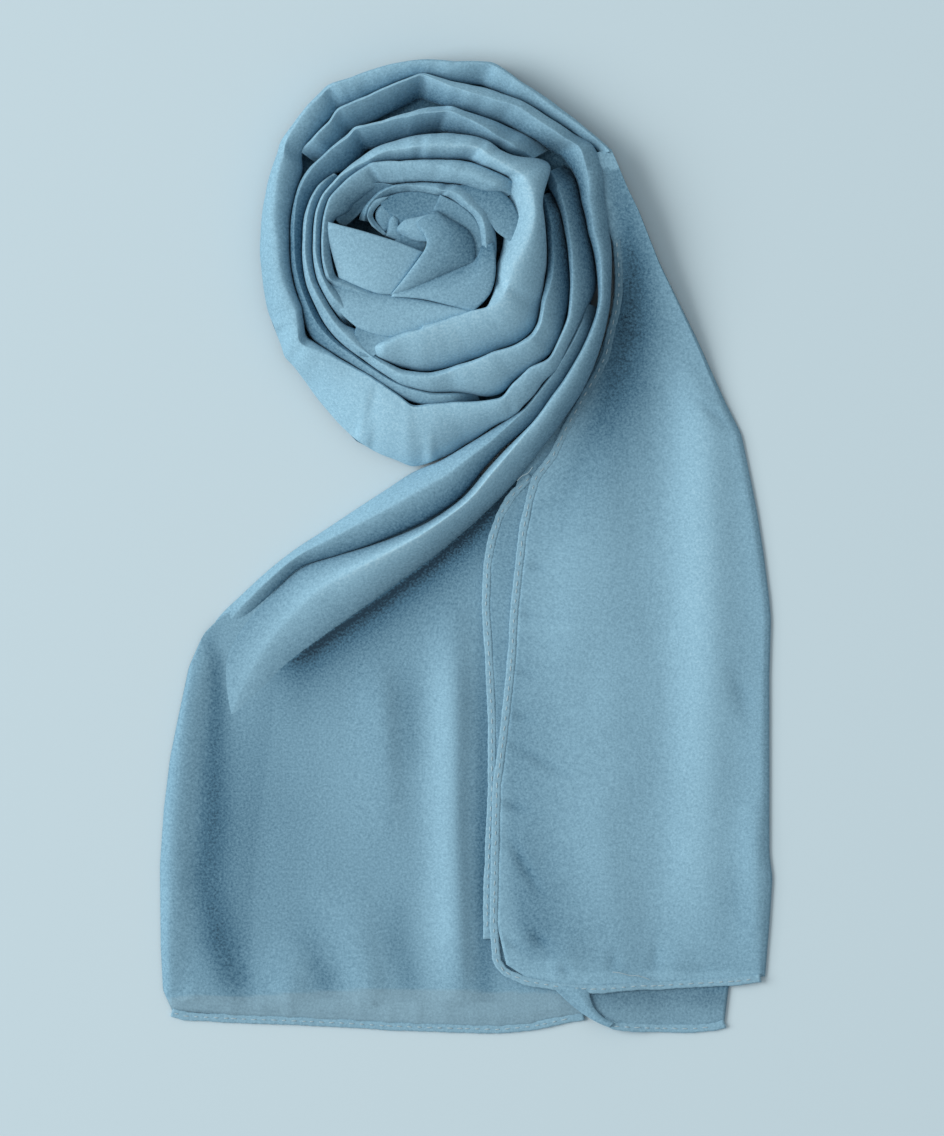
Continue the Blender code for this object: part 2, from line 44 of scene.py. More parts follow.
drawing = {"shiftX": 1.0, "shiftY": 2.0}      # from the drawing's zero to the frame's origin


def put(x, y, z):
    return Vector(((x + drawing["shiftX"]) * mm, (y + drawing["shiftY"]) * mm, z * mm))


# Camera, floor and light

view = {
    "width": 944, "height": 1136,             # photograph's frame
    "mmPerPixel": 0.64,
    "middleX": 3.2, "middleY": -14.7,         # what the frame is centred on
    "distance": 9000.0,
}
studio = {
    "floor": (0.590, 0.722, 0.775),
    "keyFrom": (-7.35, 1.00, 5.20), "keySize": 6.4, "keyPower": 735.0,
    "sky": (0.93, 0.97, 1.0), "skyStrength": 0.47,
}


def aim(thing, target):
    way = target - thing.location
    thing.rotation_euler = way.to_track_quat("-Z", "Y").to_euler()


def makeCamera():
    data = bpy.data.cameras.new("camera")
    camera = bpy.data.objects.new("camera", data)
    bpy.context.scene.collection.objects.link(camera)
    bpy.context.scene.camera = camera
    tall = view["height"] * view["mmPerPixel"] * mm
    data.sensor_fit = "VERTICAL"
    data.sensor_height = 24.0
    data.lens = 24.0 * view["distance"] * mm / tall
    data.clip_end = 40.0
    camera.location = put(view["middleX"], view["middleY"], view["distance"])
    print("camera set")


def makeStudio():
    bpy.ops.mesh.primitive_plane_add(size=12.0, location=(0, 0, -0.0004))
    floor = bpy.context.object
    floor.name = "studioFloor"
    material = bpy.data.materials.new("pale floor")
    material.use_nodes = True
    shader = material.node_tree.nodes["Principled BSDF"]
    shader.inputs["Base Color"].default_value = (*studio["floor"], 1.0)
    shader.inputs["Roughness"].default_value = 0.9
    shader.inputs["Specular IOR Level"].default_value = 0.2
    floor.data.materials.append(material)
    data = bpy.data.lights.new("keyLight", "AREA")
    data.size = studio["keySize"]
    data.energy = studio["keyPower"]
    light = bpy.data.objects.new("keyLight", data)
    light.location = studio["keyFrom"]
    bpy.context.scene.collection.objects.link(light)
    aim(light, Vector((0.0, 0.05, 0.0)))
    world = bpy.data.worlds.new("studioSky")
    world.use_nodes = True
    sky = world.node_tree.nodes["Background"]
    sky.inputs["Color"].default_value = (*studio["sky"], 1.0)
    sky.inputs["Strength"].default_value = studio["skyStrength"]
    bpy.context.scene.world = world
    bpy.context.scene.view_settings.view_transform = "Standard"
    print("studio set")


# Shader maths

class Wire:
    def __init__(self, build, socket):
        self.build = build
        self.socket = socket

    def join(self, operation, other, swapped=False):
        pair = [other, self] if swapped else [self, other]
        return self.build.node("ShaderNodeMath", {"operation": operation}, pair)

    def __add__(self, other):
        return self.join("ADD", other)

    def __radd__(self, other):
        return self.join("ADD", other)

    def __sub__(self, other):
        return self.join("SUBTRACT", other)

    def __rsub__(self, other):
        return self.join("SUBTRACT", other, True)

    def __mul__(self, other):
        return self.join("MULTIPLY", other)

    def __rmul__(self, other):
        return self.join("MULTIPLY", other)


class Shader:
    def __init__(self, name):
        self.material = bpy.data.materials.new(name)
        self.material.use_nodes = True
        self.tree = self.material.node_tree
        self.surface = self.tree.nodes["Principled BSDF"]

    def node(self, kind, settings, values, out=0):
        made = self.tree.nodes.new(kind)
        for key, value in settings.items():
            if key == "stops":
                ramp = made.color_ramp
                while len(ramp.elements) < len(value):
                    ramp.elements.new(0.5)
                for element, (place, colour) in zip(ramp.elements, value):
                    element.position = place
                    element.color = colour
            else:
                setattr(made, key, value)
        pairs = values.items() if isinstance(values, dict) else enumerate(values)
        for key, value in pairs:
            self.feed(made.inputs[key], value)
        return Wire(self, made.outputs[out])

    def feed(self, socket, value):
        if isinstance(value, Wire):
            self.tree.links.new(value.socket, socket)
        else:
            socket.default_value = value


# deep and pale are the cloth in painted shade and in painted light; depth is a painted shadow colour and
# glint a painted highlight
crepe = {
    "depth": (0.012, 0.036, 0.060), "glint": (0.44, 0.68, 0.80),
    "deep": (0.060, 0.155, 0.235), "pale": (0.310, 0.540, 0.675), "sheer": (0.27, 0.37, 0.41),
    "roughness": 0.86, "sheen": 0.07, "sheenRoughness": 0.55,
    "pebble": 640.0, "pebbleDepth": 0.00024, "yarn": 1300.0,
}
thread = {"colour": (0.43, 0.58, 0.64), "roughness": 0.6}


def makeCrepe(name, tint=1.0):
    """Coloured by the attribute tone, which carries painted shade and light: 0 is cloth in its deep colour
    and 1 its pale one, and tones beyond them reach the painted shadow colour depth and the painted
    highlight glint.
    """
    build = Shader(name)
    place = build.node("ShaderNodeTexCoord", {}, {}, "Object")
    tone = build.node("ShaderNodeAttribute", {"attribute_name": "tone"}, {}, "Fac")
    thin = build.node("ShaderNodeAttribute", {"attribute_name": "thin"}, {}, "Fac")
    pebble = build.node("ShaderNodeTexNoise", {}, {
        "Vector": place, "Scale": crepe["pebble"], "Detail": 2.0, "Roughness": 0.65}, "Fac")
    yarn = build.node("ShaderNodeTexNoise", {}, {
        "Vector": place, "Scale": crepe["yarn"], "Detail": 1.0}, "Fac")
    drift = build.node("ShaderNodeTexNoise", {}, {
        "Vector": place, "Scale": 14.0, "Detail": 2.0}, "Fac")
    # tone brings the painted light and shade; pebble, drift and yarn add the crepe's own uneven colour
    share = tone * 0.6 + 0.22 + (pebble - 0.5) * 0.57 + (drift - 0.5) * 0.06 + (yarn - 0.5) * 0.18
    low = [c * tint for c in crepe["deep"]]
    high = [c * tint for c in crepe["pale"]]
    colour = build.node("ShaderNodeValToRGB", {
        "stops": [(0.0, (*crepe["depth"], 1.0)), (0.2, (*low, 1.0)), (0.8, (*high, 1.0)),
                  (1.0, (*crepe["glint"], 1.0))]}, {"Fac": share})
    colour = build.node("ShaderNodeMix", {"data_type": "RGBA"}, {
        0: thin * 0.55, 6: colour, 7: (*crepe["sheer"], 1.0)}, 2)
    height = pebble * 0.75 + yarn * 0.25
    bump = build.node("ShaderNodeBump", {}, {
        "Strength": 0.55, "Distance": crepe["pebbleDepth"], "Height": height})
    shader = build.surface
    build.feed(shader.inputs["Base Color"], colour)
    build.feed(shader.inputs["Normal"], bump)
    shader.inputs["Roughness"].default_value = crepe["roughness"]
    shader.inputs["Specular IOR Level"].default_value = 0.25
    shader.inputs["Sheen Weight"].default_value = crepe["sheen"]
    shader.inputs["Sheen Roughness"].default_value = crepe["sheenRoughness"]
    shader.inputs["Sheen Tint"].default_value = (0.72, 0.86, 0.95, 1.0)
    return build.material


def makeThread():
    build = Shader("hem thread")
    place = build.node("ShaderNodeTexCoord", {}, {}, "Object")
    grain = build.node("ShaderNodeTexNoise", {}, {"Vector": place, "Scale": 900.0}, "Fac")
    colour = build.node("ShaderNodeValToRGB", {"stops": [
        (0.25, (*[c * 0.72 for c in thread["colour"]], 1.0)),
        (0.75, (*thread["colour"], 1.0))]}, {"Fac": grain})
    build.feed(build.surface.inputs["Base Color"], colour)
    build.surface.inputs["Roughness"].default_value = thread["roughness"]
    return build.material


# Cloth as meshes

def readRow(rows, at, column):
    if at <= rows[0][0]:
        return rows[0][column]
    for low, high in zip(rows, rows[1:]):
        if at <= high[0]:
            share = (at - low[0]) / (high[0] - low[0])
            return low[column] + share * (high[column] - low[column])
    return rows[-1][column]


def softRow(rows, at, column, blur=1.4):
    """The same reading with its corners eased over a few degrees."""
    parts = [readRow(rows, at + step * blur, column) for step in (-1.0, -0.5, 0.0, 0.5, 1.0)]
    return sum(weight * part for weight, part in zip((0.12, 0.22, 0.32, 0.22, 0.12), parts))


def smoothStep(value):
    value = min(max(value, 0.0), 1.0)
    return value * value * (3.0 - 2.0 * value)


def waver(x, y, z, seed=0.0):
    return noise.noise(Vector((x, y, z + seed)))


def meshFromRows(name, rows, tones=None):
    """An open cloth surface through rows of points, its right side up."""
    shape = bmesh.new()
    toneLayer = shape.verts.layers.float.new("tone")
    thinLayer = shape.verts.layers.float.new("thin")
    grid = []
    for i, row in enumerate(rows):
        line = []
        for j, point in enumerate(row):
            vertex = shape.verts.new(point)
            vertex[toneLayer], vertex[thinLayer] = tones[i][j] if tones else (0.62, 0.0)
            line.append(vertex)
        grid.append(line)
    for low, high in zip(grid, grid[1:]):
        for j in range(len(low) - 1):
            shape.faces.new((low[j], low[j + 1], high[j + 1], high[j]))
    shape.normal_update()
    if sum(face.normal.z * face.calc_area() for face in shape.faces) < 0:
        bmesh.ops.reverse_faces(shape, faces=shape.faces)
    mesh = bpy.data.meshes.new(name)
    shape.to_mesh(mesh)
    shape.free()
    piece = bpy.data.objects.new(name, mesh)
    bpy.context.scene.collection.objects.link(piece)
    return piece


def applyAll(piece):
    bpy.ops.object.select_all(action="DESELECT")
    piece.select_set(True)
    bpy.context.view_layer.objects.active = piece
    for modifier in list(piece.modifiers):
        bpy.ops.object.modifier_apply(modifier=modifier.name)
    for face in piece.data.polygons:
        face.use_smooth = True


def finishCloth(piece, material, wall=0.55, levels=1):
    solid = piece.modifiers.new("wall", "SOLIDIFY")
    solid.thickness = wall * mm
    solid.offset = -1.0
    if levels:
        smooth = piece.modifiers.new("smooth", "SUBSURF")
        smooth.levels = levels
        smooth.render_levels = levels
    applyAll(piece)
    piece.data.materials.append(material)
    return piece


def declare(piece, nodes):
    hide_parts(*nodes)
    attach(piece, "root")


# The rosette

rosette = {
    "eyeX": -35.0, "eyeY": 200.0,
    "lean": 0.44, "leanFrom": 125.0,      # how far each fold tips, and from which side
    "mostFall": 21.0,
    "innerReach": 5.0, "gap": 0.25,
    "step": 1.25,                 # degrees between rows
    "rimFold": 8.0,
    # outline: angle, reach
    "rim": [
        (-60, 162), (-50, 153), (-41, 148), (-36, 144), (-26, 138), (-16, 132), (-6, 128),
        (4, 127), (12, 127), (19, 128), (22, 138), (31, 129), (40, 123.5), (53, 118.5),
        (60, 119.5), (64.5, 120.5), (70, 116), (77, 112), (86, 110.5), (95, 108.5),
        (106, 106.5), (114, 106.5), (120, 108.5), (126, 106), (134, 103.5), (143, 102),
        (147, 101.5), (151, 99.5), (158, 98), (168, 97), (177, 96.5), (197, 100), (205, 103.5),
        (214, 108), (227, 113), (239, 121), (249, 131), (256, 140), (264, 145), (270, 149.5),
        (274, 149.5), (283, 141), (293, 134), (300, 132),
    ],
}

# A turn's tone rows: angle, tone at the crest, at the inner side and at the outer side. They are painted
# light and shade: lit crests, shaded sides down into the grooves, and darker stretches where a fold lies
# in the shade of its neighbours
turns = {
    "right_arm_turn_1": {
        "flat": (0.058, 0.66), "slot": "cloth",
        "crest": [
            (22, 136.5), (25, 133.5), (31, 127), (39, 121), (46, 118.5), (54, 116.5),
            (60, 117.5), (64.5, 118.5), (70, 114.5), (76, 110.5), (86, 109), (93, 107),
            (103, 105), (112, 104), (117, 105.5), (120, 106.5), (124, 104.5), (130, 103),
            (138, 100.5), (145.5, 99), (150, 95), (155, 92.5), (166, 87), (182, 84.5),
            (193, 85), (204, 87), (214, 89), (220, 95.5), (224.5, 101.5), (229, 99),
            (235, 96), (245, 95), (252, 96), (258, 99), (266, 106.5), (270, 112.5),
            (276, 111.5), (284, 113), (294, 119), (298.5, 122), (303, 117.5), (311, 115.5),
            (317, 120.5), (324, 117), (331, 115), (337, 111), (342, 108), (349, 104),
            (360, 100), (370, 98), (378, 97), (384, 96),
        ],
        "height": [(22, 22), (60, 25), (90, 27), (146, 29), (182, 31), (225, 31), (258, 34),
                   (299, 34), (318, 34), (335, 33), (350, 31), (374, 30), (384, 28)],
        "sink": (0, 9),
        "tone": [(22, 0.80, 0.50, 0.60), (60, 0.84, 0.50, 0.70), (100, 0.86, 0.46, 0.66),
                 (146, 0.80, 0.36, 0.66), (182, 0.80, 0.24, 0.62), (205, 0.80, 0.26, 0.62),
                 (228, 0.84, 0.40, 0.80), (260, 0.98, 0.50, 0.98), (300, 0.94, 0.50, 0.80),
                 (325, 0.86, 0.40, 0.30), (350, 0.42, -0.04, -0.20),
                 (384, 0.24, -0.10, -0.26)],
        "slope": [(22, 0.7, 1.4), (50, 0.45, 2.0), (110, 0.45, 2.0), (146, 0.6, 1.5),
                  (182, 0.55, 1.7), (225, 0.6, 1.7), (300, 0.55, 1.9), (384, 1.1, 1.0)],
        "roll": [(148, 0), (160, -1.8), (176, -2.6), (192, -2.6), (206, -1.8), (218, 0)],
    },
    "right_arm_turn_2": {
        "flat": (0.060, 0.37), "slot": "cloth",
        "crest": [
            (391, 91), (398, 86), (408, 81.5), (419, 80), (426, 79.5), (433, 80.5),
            (438, 78), (451, 73), (465, 71.5), (474, 73), (479, 75), (484, 73), (490, 73),
            (499, 73.5), (508, 75.5), (516, 76.5), (526, 76), (545, 75.5), (554, 77),
            (564, 79), (575, 81.5), (586, 85), (595, 87), (604, 88), (615, 92), (626, 99),
            (637, 105), (652, 110),
        ],
        "height": [(391, 31), (400, 35), (433, 39), (480, 39), (500, 35), (515, 31),
                   (545, 29), (575, 29), (592, 32), (604, 35), (637, 36), (652, 32)],
        "sink": (9, 12),
        "tone": [(391, 0.56, 0.10, 0.40), (420, 0.84, 0.06, 0.76),
                 (433, 0.90, -0.16, 0.84), (452, 0.90, 0.10, 0.80),
                 (480, 0.90, -0.20, 0.80), (505, 0.60, 0.10, 0.40),
                 (545, 0.16, -0.16, -0.16), (590, 0.26, -0.02, 0.04), (620, 0.62, 0.30, 0.44),
                 (652, 0.66, 0.36, 0.44)],
        "slope": [(391, 1.1, 1.2), (433, 1.35, 1.0), (480, 1.2, 1.05), (505, 0.7, 1.2),
                  (600, 0.8, 1.2), (652, 0.8, 1.4)],
    },
    "left_arm_turn_1": {
        "flat": (0.047, 0.72), "slot": "cloth_shade",
        "crest": [
            (-60, 147), (-50, 139), (-40, 134.5), (-29, 131), (-20, 128.5), (-9, 121.8),
            (0, 116), (10, 115), (18, 118), (24, 119.5), (27, 120), (31, 114.5), (40, 108),
            (45, 106), (50, 104), (57, 99.5), (67, 96), (75, 96), (82, 98.5), (86.5, 100.5),
            (92, 96.5), (99, 93), (108, 90), (116, 90), (121.5, 90.8), (127, 86.8),
            (138, 86), (144.5, 87.5),
        ],
        "height": [(-60, 24), (-40, 28), (-19, 28), (2, 28), (20, 29), (46, 34), (68, 35),
                   (87, 34), (112, 35), (144, 31)],
        "sink": (0, 11),
        "tone": [(-60, 0.98, 0.30, 0.20), (-20, 0.56, -0.08, 0.10), (10, 0.46, -0.22, 0.14),
                 (30, 0.70, -0.10, 0.50), (60, 0.86, 0.30, 0.72), (86, 0.96, -0.20, 0.76),
                 (110, 0.86, 0.20, 0.66), (144, 0.70, 0.30, 0.50)],
        "slope": [(-60, 0.9, 1.1), (0, 0.9, 1.1), (30, 0.9, 1.2), (60, 1.0, 1.1),
                  (88, 1.2, 1.0), (120, 1.1, 1.1), (144, 0.8, 1.4)],
    },
    "fold_a": {
        "flat": (0.047, 0.30), "slot": "cloth",
        "crest": [(-60, 136), (-50, 130), (-40, 126), (-30, 123), (-22, 121)],
        "height": [(-60, 23), (-40, 28), (-22, 28)],
        "sink": (0, 9),
        "tone": [(-60, 0.84, 0.20, 0.20), (-22, 0.44, 0.06, 0.10)],
        "slope": [(-60, 0.9, 1.1), (-22, 0.9, 1.1)],
    },
    "left_arm_turn_2": {
        "flat": (0.062, 0.37), "slot": "cloth_shade",
        "crest": [
            (143, 61), (154, 65.5), (162, 67), (172, 68), (184, 68), (198, 70.5), (207, 72.5),
            (218, 73.5), (227, 76), (236, 78.5), (249, 82), (259, 87.5), (266, 92),
            (277, 94), (289, 92), (304, 94), (312, 99.5), (319, 102.5), (324, 101.5),
            (332, 96), (342, 93.5), (357, 89), (367, 87.5), (376, 86.5),
        ],
        "height": [(143, 39), (172, 41), (246, 41), (280, 41), (304, 42), (320, 40),
                   (332, 36), (345, 33), (360, 33), (376, 31)],
        "sink": (11, 9),
        "tone": [(143, 0.66, 0.20, 0.34), (182, 0.72, 0.24, 0.40), (220, 0.66, 0.24, 0.36),
                 (260, 0.88, 0.40, 0.56), (300, 1.06, 0.60, 0.70), (325, 0.90, 0.40, 0.40),
                 (345, 0.20, -0.20, -0.26), (376, 0.06, -0.24, -0.30)],
        "slope": [(143, 0.8, 1.3), (200, 0.75, 1.3), (250, 0.6, 1.5), (300, 0.6, 1.6),
                  (340, 0.9, 1.2), (376, 1.0, 1.1)],
    },
    "broad_turn": {
        "flat": (0.072, 0.41), "slot": "cloth",
        "crest": [
            (-112, 80), (-104, 75), (-99, 71), (-92, 66), (-79, 62.5), (-65, 61.3),
            (-53, 64.5), (-45, 69.5), (-38.5, 72), (-29, 70), (-19, 69.2), (-9, 72.5),
            (-1, 75.5), (8, 78.8), (15, 80), (22, 81), (26, 81), (34, 75.6), (43, 71.6),
            (47, 72), (50, 72), (55, 70), (64, 65), (76, 60.7), (89, 59), (101, 57.4),
            (115, 57), (125, 56), (135, 56.6), (148, 58), (158, 60.6), (168, 61.5),
            (185, 61.7), (195, 63), (207, 64.7), (218, 65.2), (229, 65.8), (238, 68),
        ],
        "height": [(-112, 45), (-92, 46), (-53, 46), (-9, 46), (24, 44), (58, 45), (90, 46),
                   (158, 44), (222, 43), (238, 38)],
        "sink": (9, 11),
        "taper": 16.0,
        "inMost": [(-70, 60), (-50, 70), (-38, 65), (-22, 58), (4, 58.5), (20, 62), (34, 75)],
        "tone": [(-112, 0.90, 0.60, 0.70), (-70, 1.02, 0.78, 0.86),
                 (-30, 1.06, 0.80, 0.66), (0, 1.06, 0.56, 0.36), (24, 1.10, 0.56, 0.50),
                 (50, 1.02, 0.60, 0.60), (90, 0.98, 0.26, 0.66), (130, 0.88, 0.26, 0.56),
                 (180, 0.72, 0.20, 0.46), (238, 0.66, 0.24, 0.40)],
        "slope": [(-112, 0.5, 1.6), (-70, 0.55, 1.8), (-30, 0.6, 1.8), (10, 0.8, 1.8),
                  (60, 0.9, 1.5), (120, 1.0, 1.3), (180, 0.8, 1.3), (238, 0.6, 1.5)],
        "roll": [(20, 0), (44, 3.5), (60, 4.5), (95, 5.5), (125, 3.0), (145, 0)],
    },
    "hemmed_turn": {
        "flat": (0.068, 0.257), "slot": "cloth",
        "crest": [
            (20, 67), (25, 63.5), (30, 60), (36, 56), (45, 51.5), (53, 48), (64, 45), (74, 43.5), (87, 43),
            (100, 43.8), (115, 47.5), (120, 49.2), (123, 49.8), (129, 50), (135, 50.8),
            (148, 53), (158, 55.7), (169, 56), (180, 56.3), (191, 57.5), (202, 59.5),
            (208, 60.8), (211, 61), (216, 56.5), (222, 53.5), (232, 50), (250, 47),
            (264, 48.5), (279, 51), (288, 53.8), (300, 57.5),
        ],
        "height": [(20, 42), (54, 46), (98, 47), (136, 46), (202, 45), (222, 41), (250, 38),
                   (270, 38), (300, 36)],
        "sink": (7, 9),
        "tone": [(30, 0.80, 0.40, 0.56), (60, 0.88, 0.62, 0.66), (110, 0.88, 0.58, 0.62),
                 (150, 0.66, 0.06, 0.46), (200, 0.60, 0.10, 0.40), (250, 0.62, 0.30, 0.50),
                 (300, 0.60, 0.40, 0.46)],
        "slope": [(30, 0.5, 1.6), (90, 0.4, 1.8), (140, 0.6, 1.5), (200, 0.8, 1.3),
                  (260, 0.5, 1.6), (300, 0.5, 1.6)],
    },
    "heart_ring": {
        "flat": (0.068, 0.194), "slot": "cloth_shade",
        "crest": [
            (255, 40), (270, 41), (286, 42.5), (296, 46), (303, 50.4), (309, 54), (312, 55),
            (317, 54.8), (322, 54.5), (336, 52), (350, 48.3), (360, 46.8), (373, 44.7),
            (387, 39.2), (398, 37), (404, 36), (409, 34.3), (413, 32.5), (426, 30), (448, 29),
            (466, 30), (490, 32), (510, 32), (528, 31),
        ],
        "outMost": [(255, 45), (279, 46), (297, 54), (307, 60), (319, 61), (327, 60),
                    (338, 57), (364, 52.5), (385, 51), (400, 52), (430, 60), (450, 70)],
        "height": [(255, 35), (286, 38), (312, 40), (340, 42), (364, 43.5), (390, 43), (426, 42),
                   (470, 42), (510, 40), (528, 36)],
        "sink": (9, 5),
        "tone": [(255, 0.50, 0.36, 0.42), (290, 0.52, 0.36, 0.48), (320, 0.46, 0.34, 0.30),
                 (350, 0.60, 0.40, 0.36), (400, 0.74, 0.40, 0.56), (425, 0.84, 0.44, 0.60),
                 (460, 0.66, 0.20, 0.10), (500, 0.46, 0.06, 0.00),
                 (528, 0.36, 0.04, 0.00)],
        "slope": [(255, 0.6, 1.5), (320, 0.7, 1.5), (400, 0.8, 1.4), (450, 0.9, 1.2),
                  (528, 1.0, 1.2)],
    },
}

# Pleats across the folds: turn, angle, reach before and after it in degrees, depth
dents = [
    ("right_arm_turn_1", 24.5, 1.6, 3.0, 3.0), ("right_arm_turn_1", 65.0, 2.0, 6.0, 3.4),
    ("right_arm_turn_1", 120.5, 1.6, 4.5, 3.6), ("right_arm_turn_1", 146.5, 3.0, 2.0, 2.4),
    ("right_arm_turn_1", 226.0, 3.4, 1.8, 2.6), ("right_arm_turn_1", 257.0, 1.2, 3.0, 1.3), ("right_arm_turn_1", 271.0, 2.0, 4.0, 1.8),
    ("right_arm_turn_1", 299.5, 2.0, 2.4, 1.8), ("right_arm_turn_1", 318.0, 1.8, 3.2, 2.0),
    ("left_arm_turn_1", 28.5, 1.8, 5.0, 5.0), ("left_arm_turn_1", 52.0, 2.0, 3.0, 1.6),
    ("left_arm_turn_1", 86.0, 1.8, 8.0, 6.0), ("left_arm_turn_1", 123.0, 2.0, 4.0, 2.6),
    ("right_arm_turn_2", 435.0, 2.0, 7.0, 5.0), ("right_arm_turn_2", 480.0, 2.2, 6.0, 4.6),
    ("right_arm_turn_2", 404.0, 2.2, 4.0, 2.4),
    ("left_arm_turn_2", 320.0, 1.8, 4.0, 3.0), ("left_arm_turn_2", 252.0, 5.0, 3.0, 2.0),
    ("left_arm_turn_2", 285.0, 6.0, 3.0, 2.0),
    ("broad_turn", 27.0, 2.0, 3.6, 2.0), ("broad_turn", 51.0, 2.0, 5.0, 2.6),
    ("broad_turn", 84.0, 3.0, 5.0, 1.6), ("broad_turn", -31.0, 3.0, 3.0, 2.4),
    ("hemmed_turn", 124.0, 2.0, 4.0, 2.4), ("hemmed_turn", 212.0, 2.4, 2.4, 2.4),
    ("heart_ring", 314.0, 3.0, 4.0, 2.0), ("heart_ring", 411.0, 3.0, 5.0, 2.2),
]


def turned(angle):
    return (angle + 60.0) % 360.0 - 60.0


def around(angle, reach):
    angle = math.radians(angle)
    return (rosette["eyeX"] + reach * math.cos(angle), rosette["eyeY"] + reach * math.sin(angle))


def crestsAt(angle):
    found = []
    for name, turn in turns.items():
        rows = turn["crest"]
        at = math.ceil((rows[0][0] - 1e-6 - angle) / 360.0) * 360.0 + angle
        while at <= rows[-1][0] + 1e-6:
            found.append((softRow(rows, at, 1), name, at))
            at += 360.0
    return found


def tipAt(angle):
    """1 where a fold's crest is at its outer side, -1 where it is at its inner side."""
    return math.cos(math.radians(angle - rosette["leanFrom"]))


def turnSides(name, angle):
    """Reach of a turn's outer and inner side where it meets its neighbours."""
    reach = softRow(turns[name]["crest"], angle, 1)
    others = [r for r, other, at in crestsAt(angle % 360.0)
              if not (other == name and abs(at - angle) < 1.0)]
    share = 0.5 - rosette["lean"] * tipAt(angle)
    beyond = [r for r in others if r > reach]
    within = [r for r in others if r < reach]
    outer = softRow(rosette["rim"], turned(angle), 1)
    if beyond:
        outer = reach + share * (min(beyond) - reach)
    inner = reach - rosette["innerReach"]
    if within:
        inner = max(within) + share * (reach - max(within))
    inner = max(inner, reach - 3.0 * rosette["innerReach"])
    return outer - rosette["gap"] / 2, inner + rosette["gap"] / 2


def foldProfile(low, high, crest, top, lowTop, highTop, lowFoot, highFoot,
                lowBend=1.35, highBend=1.35, dent=0.0):
    """Points across one fold, from one foot over its crest to the other."""
    width = math.dist(low, high)
    crest = min(max(crest, 1.3 / width), 1.0 - 1.3 / width)

    def height(share):
        if share < crest:
            away = 1.0 - share / crest
            fall = (top - lowTop) * away ** lowBend
        else:
            away = (share - crest) / (1.0 - crest)
            fall = (top - highTop) * away ** highBend
        return top - fall - dent * (0.2 + 0.8 * math.sin(math.pi * min(away, 0.5)))

    def point(share, z):
        return put(low[0] + share * (high[0] - low[0]), low[1] + share * (high[1] - low[1]), z)

    shares = [crest * step for step in profileSteps] + [crest]
    shares += [1.0 - (1.0 - crest) * step for step in reversed(profileSteps)]
    points = [point(0.0, lowFoot), point(0.0, 0.5 * (lowFoot + height(0.0)))]
    points += [point(share, height(share)) for share in shares]
    points += [point(1.0, 0.5 * (highFoot + height(1.0))), point(1.0, highFoot)]
    return points


def footAt(angle, reach):
    onCore = readRow(rosette["rim"], turned(angle), 1)
    if -60.0 <= turned(angle) < 14.0 and reach > 112.0:
        return 0.3
    return 6.2 if reach > onCore - 26.0 else 12.0


def dentAt(name, angle):
    """A pleat's trough: it falls slowly on the side that is further round and rises fast."""
    total = 0.0
    for other, at, before, after, depth in dents:
        if other == name:
            half = after if angle > at else before
            total += depth * math.exp(-((angle - at) / half) ** 2)
    return total


def eased(values, rounds=2, reach=3):
    """The values with their jumps spread over a few neighbours."""
    for _ in range(rounds):
        values = [sum(values[max(i - reach, 0):i + reach + 1])
                  / len(values[max(i - reach, 0):i + reach + 1]) for i in range(len(values))]
    return values


def turnProfiles(name):
    turn = turns[name]
    first, last = turn["crest"][0][0], turn["crest"][-1][0]
    count = round((last - first) / rosette["step"])
    angles = [first + (last - first) * i / count for i in range(count + 1)]
    crests = [softRow(turn["crest"], angle, 1) for angle in angles]
    sides = [turnSides(name, angle) for angle in angles]
    outsides = eased([side[0] - crest for side, crest in zip(sides, crests)])
    insides = eased([crest - side[1] for side, crest in zip(sides, crests)])
    profiles, tones = [], []
    for angle, crest, outside, inside in zip(angles, crests, outsides, insides):
        up = tipAt(angle)
        if "taper" in turn:
            share = 0.15 + 0.85 * smoothStep((angle - first) / turn["taper"])
            inside *= share
        if "outMost" in turn:
            outside = min(outside, softRow(turn["outMost"], angle, 1) - crest)
        if "inMost" in turn and angle > -84.0:
            inside = max(inside, crest - softRow(turn["inMost"], angle, 1))
        outer, inner = crest + max(outside, 1.3), crest - max(inside, 1.3)
        reach = crest - (softRow(turn["roll"], angle, 1, 3.0) if "roll" in turn else 0.0)
        reach += 0.9 * waver(angle * 0.07, crest * 0.05, 0.0, 5.7)
        reach = min(max(reach, inner + 1.2), outer - 1.2)
        x, y = around(angle, reach)
        atRim = outer + 1.0 >= readRow(rosette["rim"], turned(angle), 1)
        sunk = (turn["sink"][0] * (1.0 - smoothStep((angle - first) / 9.0))
                + turn["sink"][1] * (1.0 - smoothStep((last - angle) / 9.0)))
        top = softRow(turn["height"], angle, 1) - sunk
        top += 1.0 * waver(x * 0.045, y * 0.045, 0.0, 3.1) + 0.5 * waver(x * 0.13, y * 0.13, 7.0)
        slope = softRow(turn["slope"], angle, 1, 6.0)
        bend = softRow(turn["slope"], angle, 2, 6.0)
        least = rosette["rimFold"] if atRim else top - rosette["mostFall"]
        outerTop = max(top - (0.95 if atRim else slope) * (outer - reach) - 0.7, least)
        innerTop = max(top - slope * (reach - inner) - 0.7, top - rosette["mostFall"])
        outerBend = max(bend, 2.1) if atRim else bend
        outerFoot = min(footAt(angle, outer), outerTop - 0.5)
        innerFoot = min(footAt(angle, inner), innerTop - 0.5)
        profiles.append(foldProfile(
            around(angle, outer), around(angle, inner), (outer - reach) / (outer - inner),
            top, outerTop, innerTop, outerFoot, innerFoot, outerBend, bend,
            dentAt(name, angle)))
        # painted light at the crest and painted shade at the sides, with a small random drift
        atCrest, atInner, atOuter = (
            softRow(turn["tone"], angle, column, 6.0) for column in (1, 2, 3))
        tones.append(toneProfile(atCrest, atOuter, atInner, 0.04 * waver(x * 0.03, y * 0.03, 2.0)))
    return profiles, tones


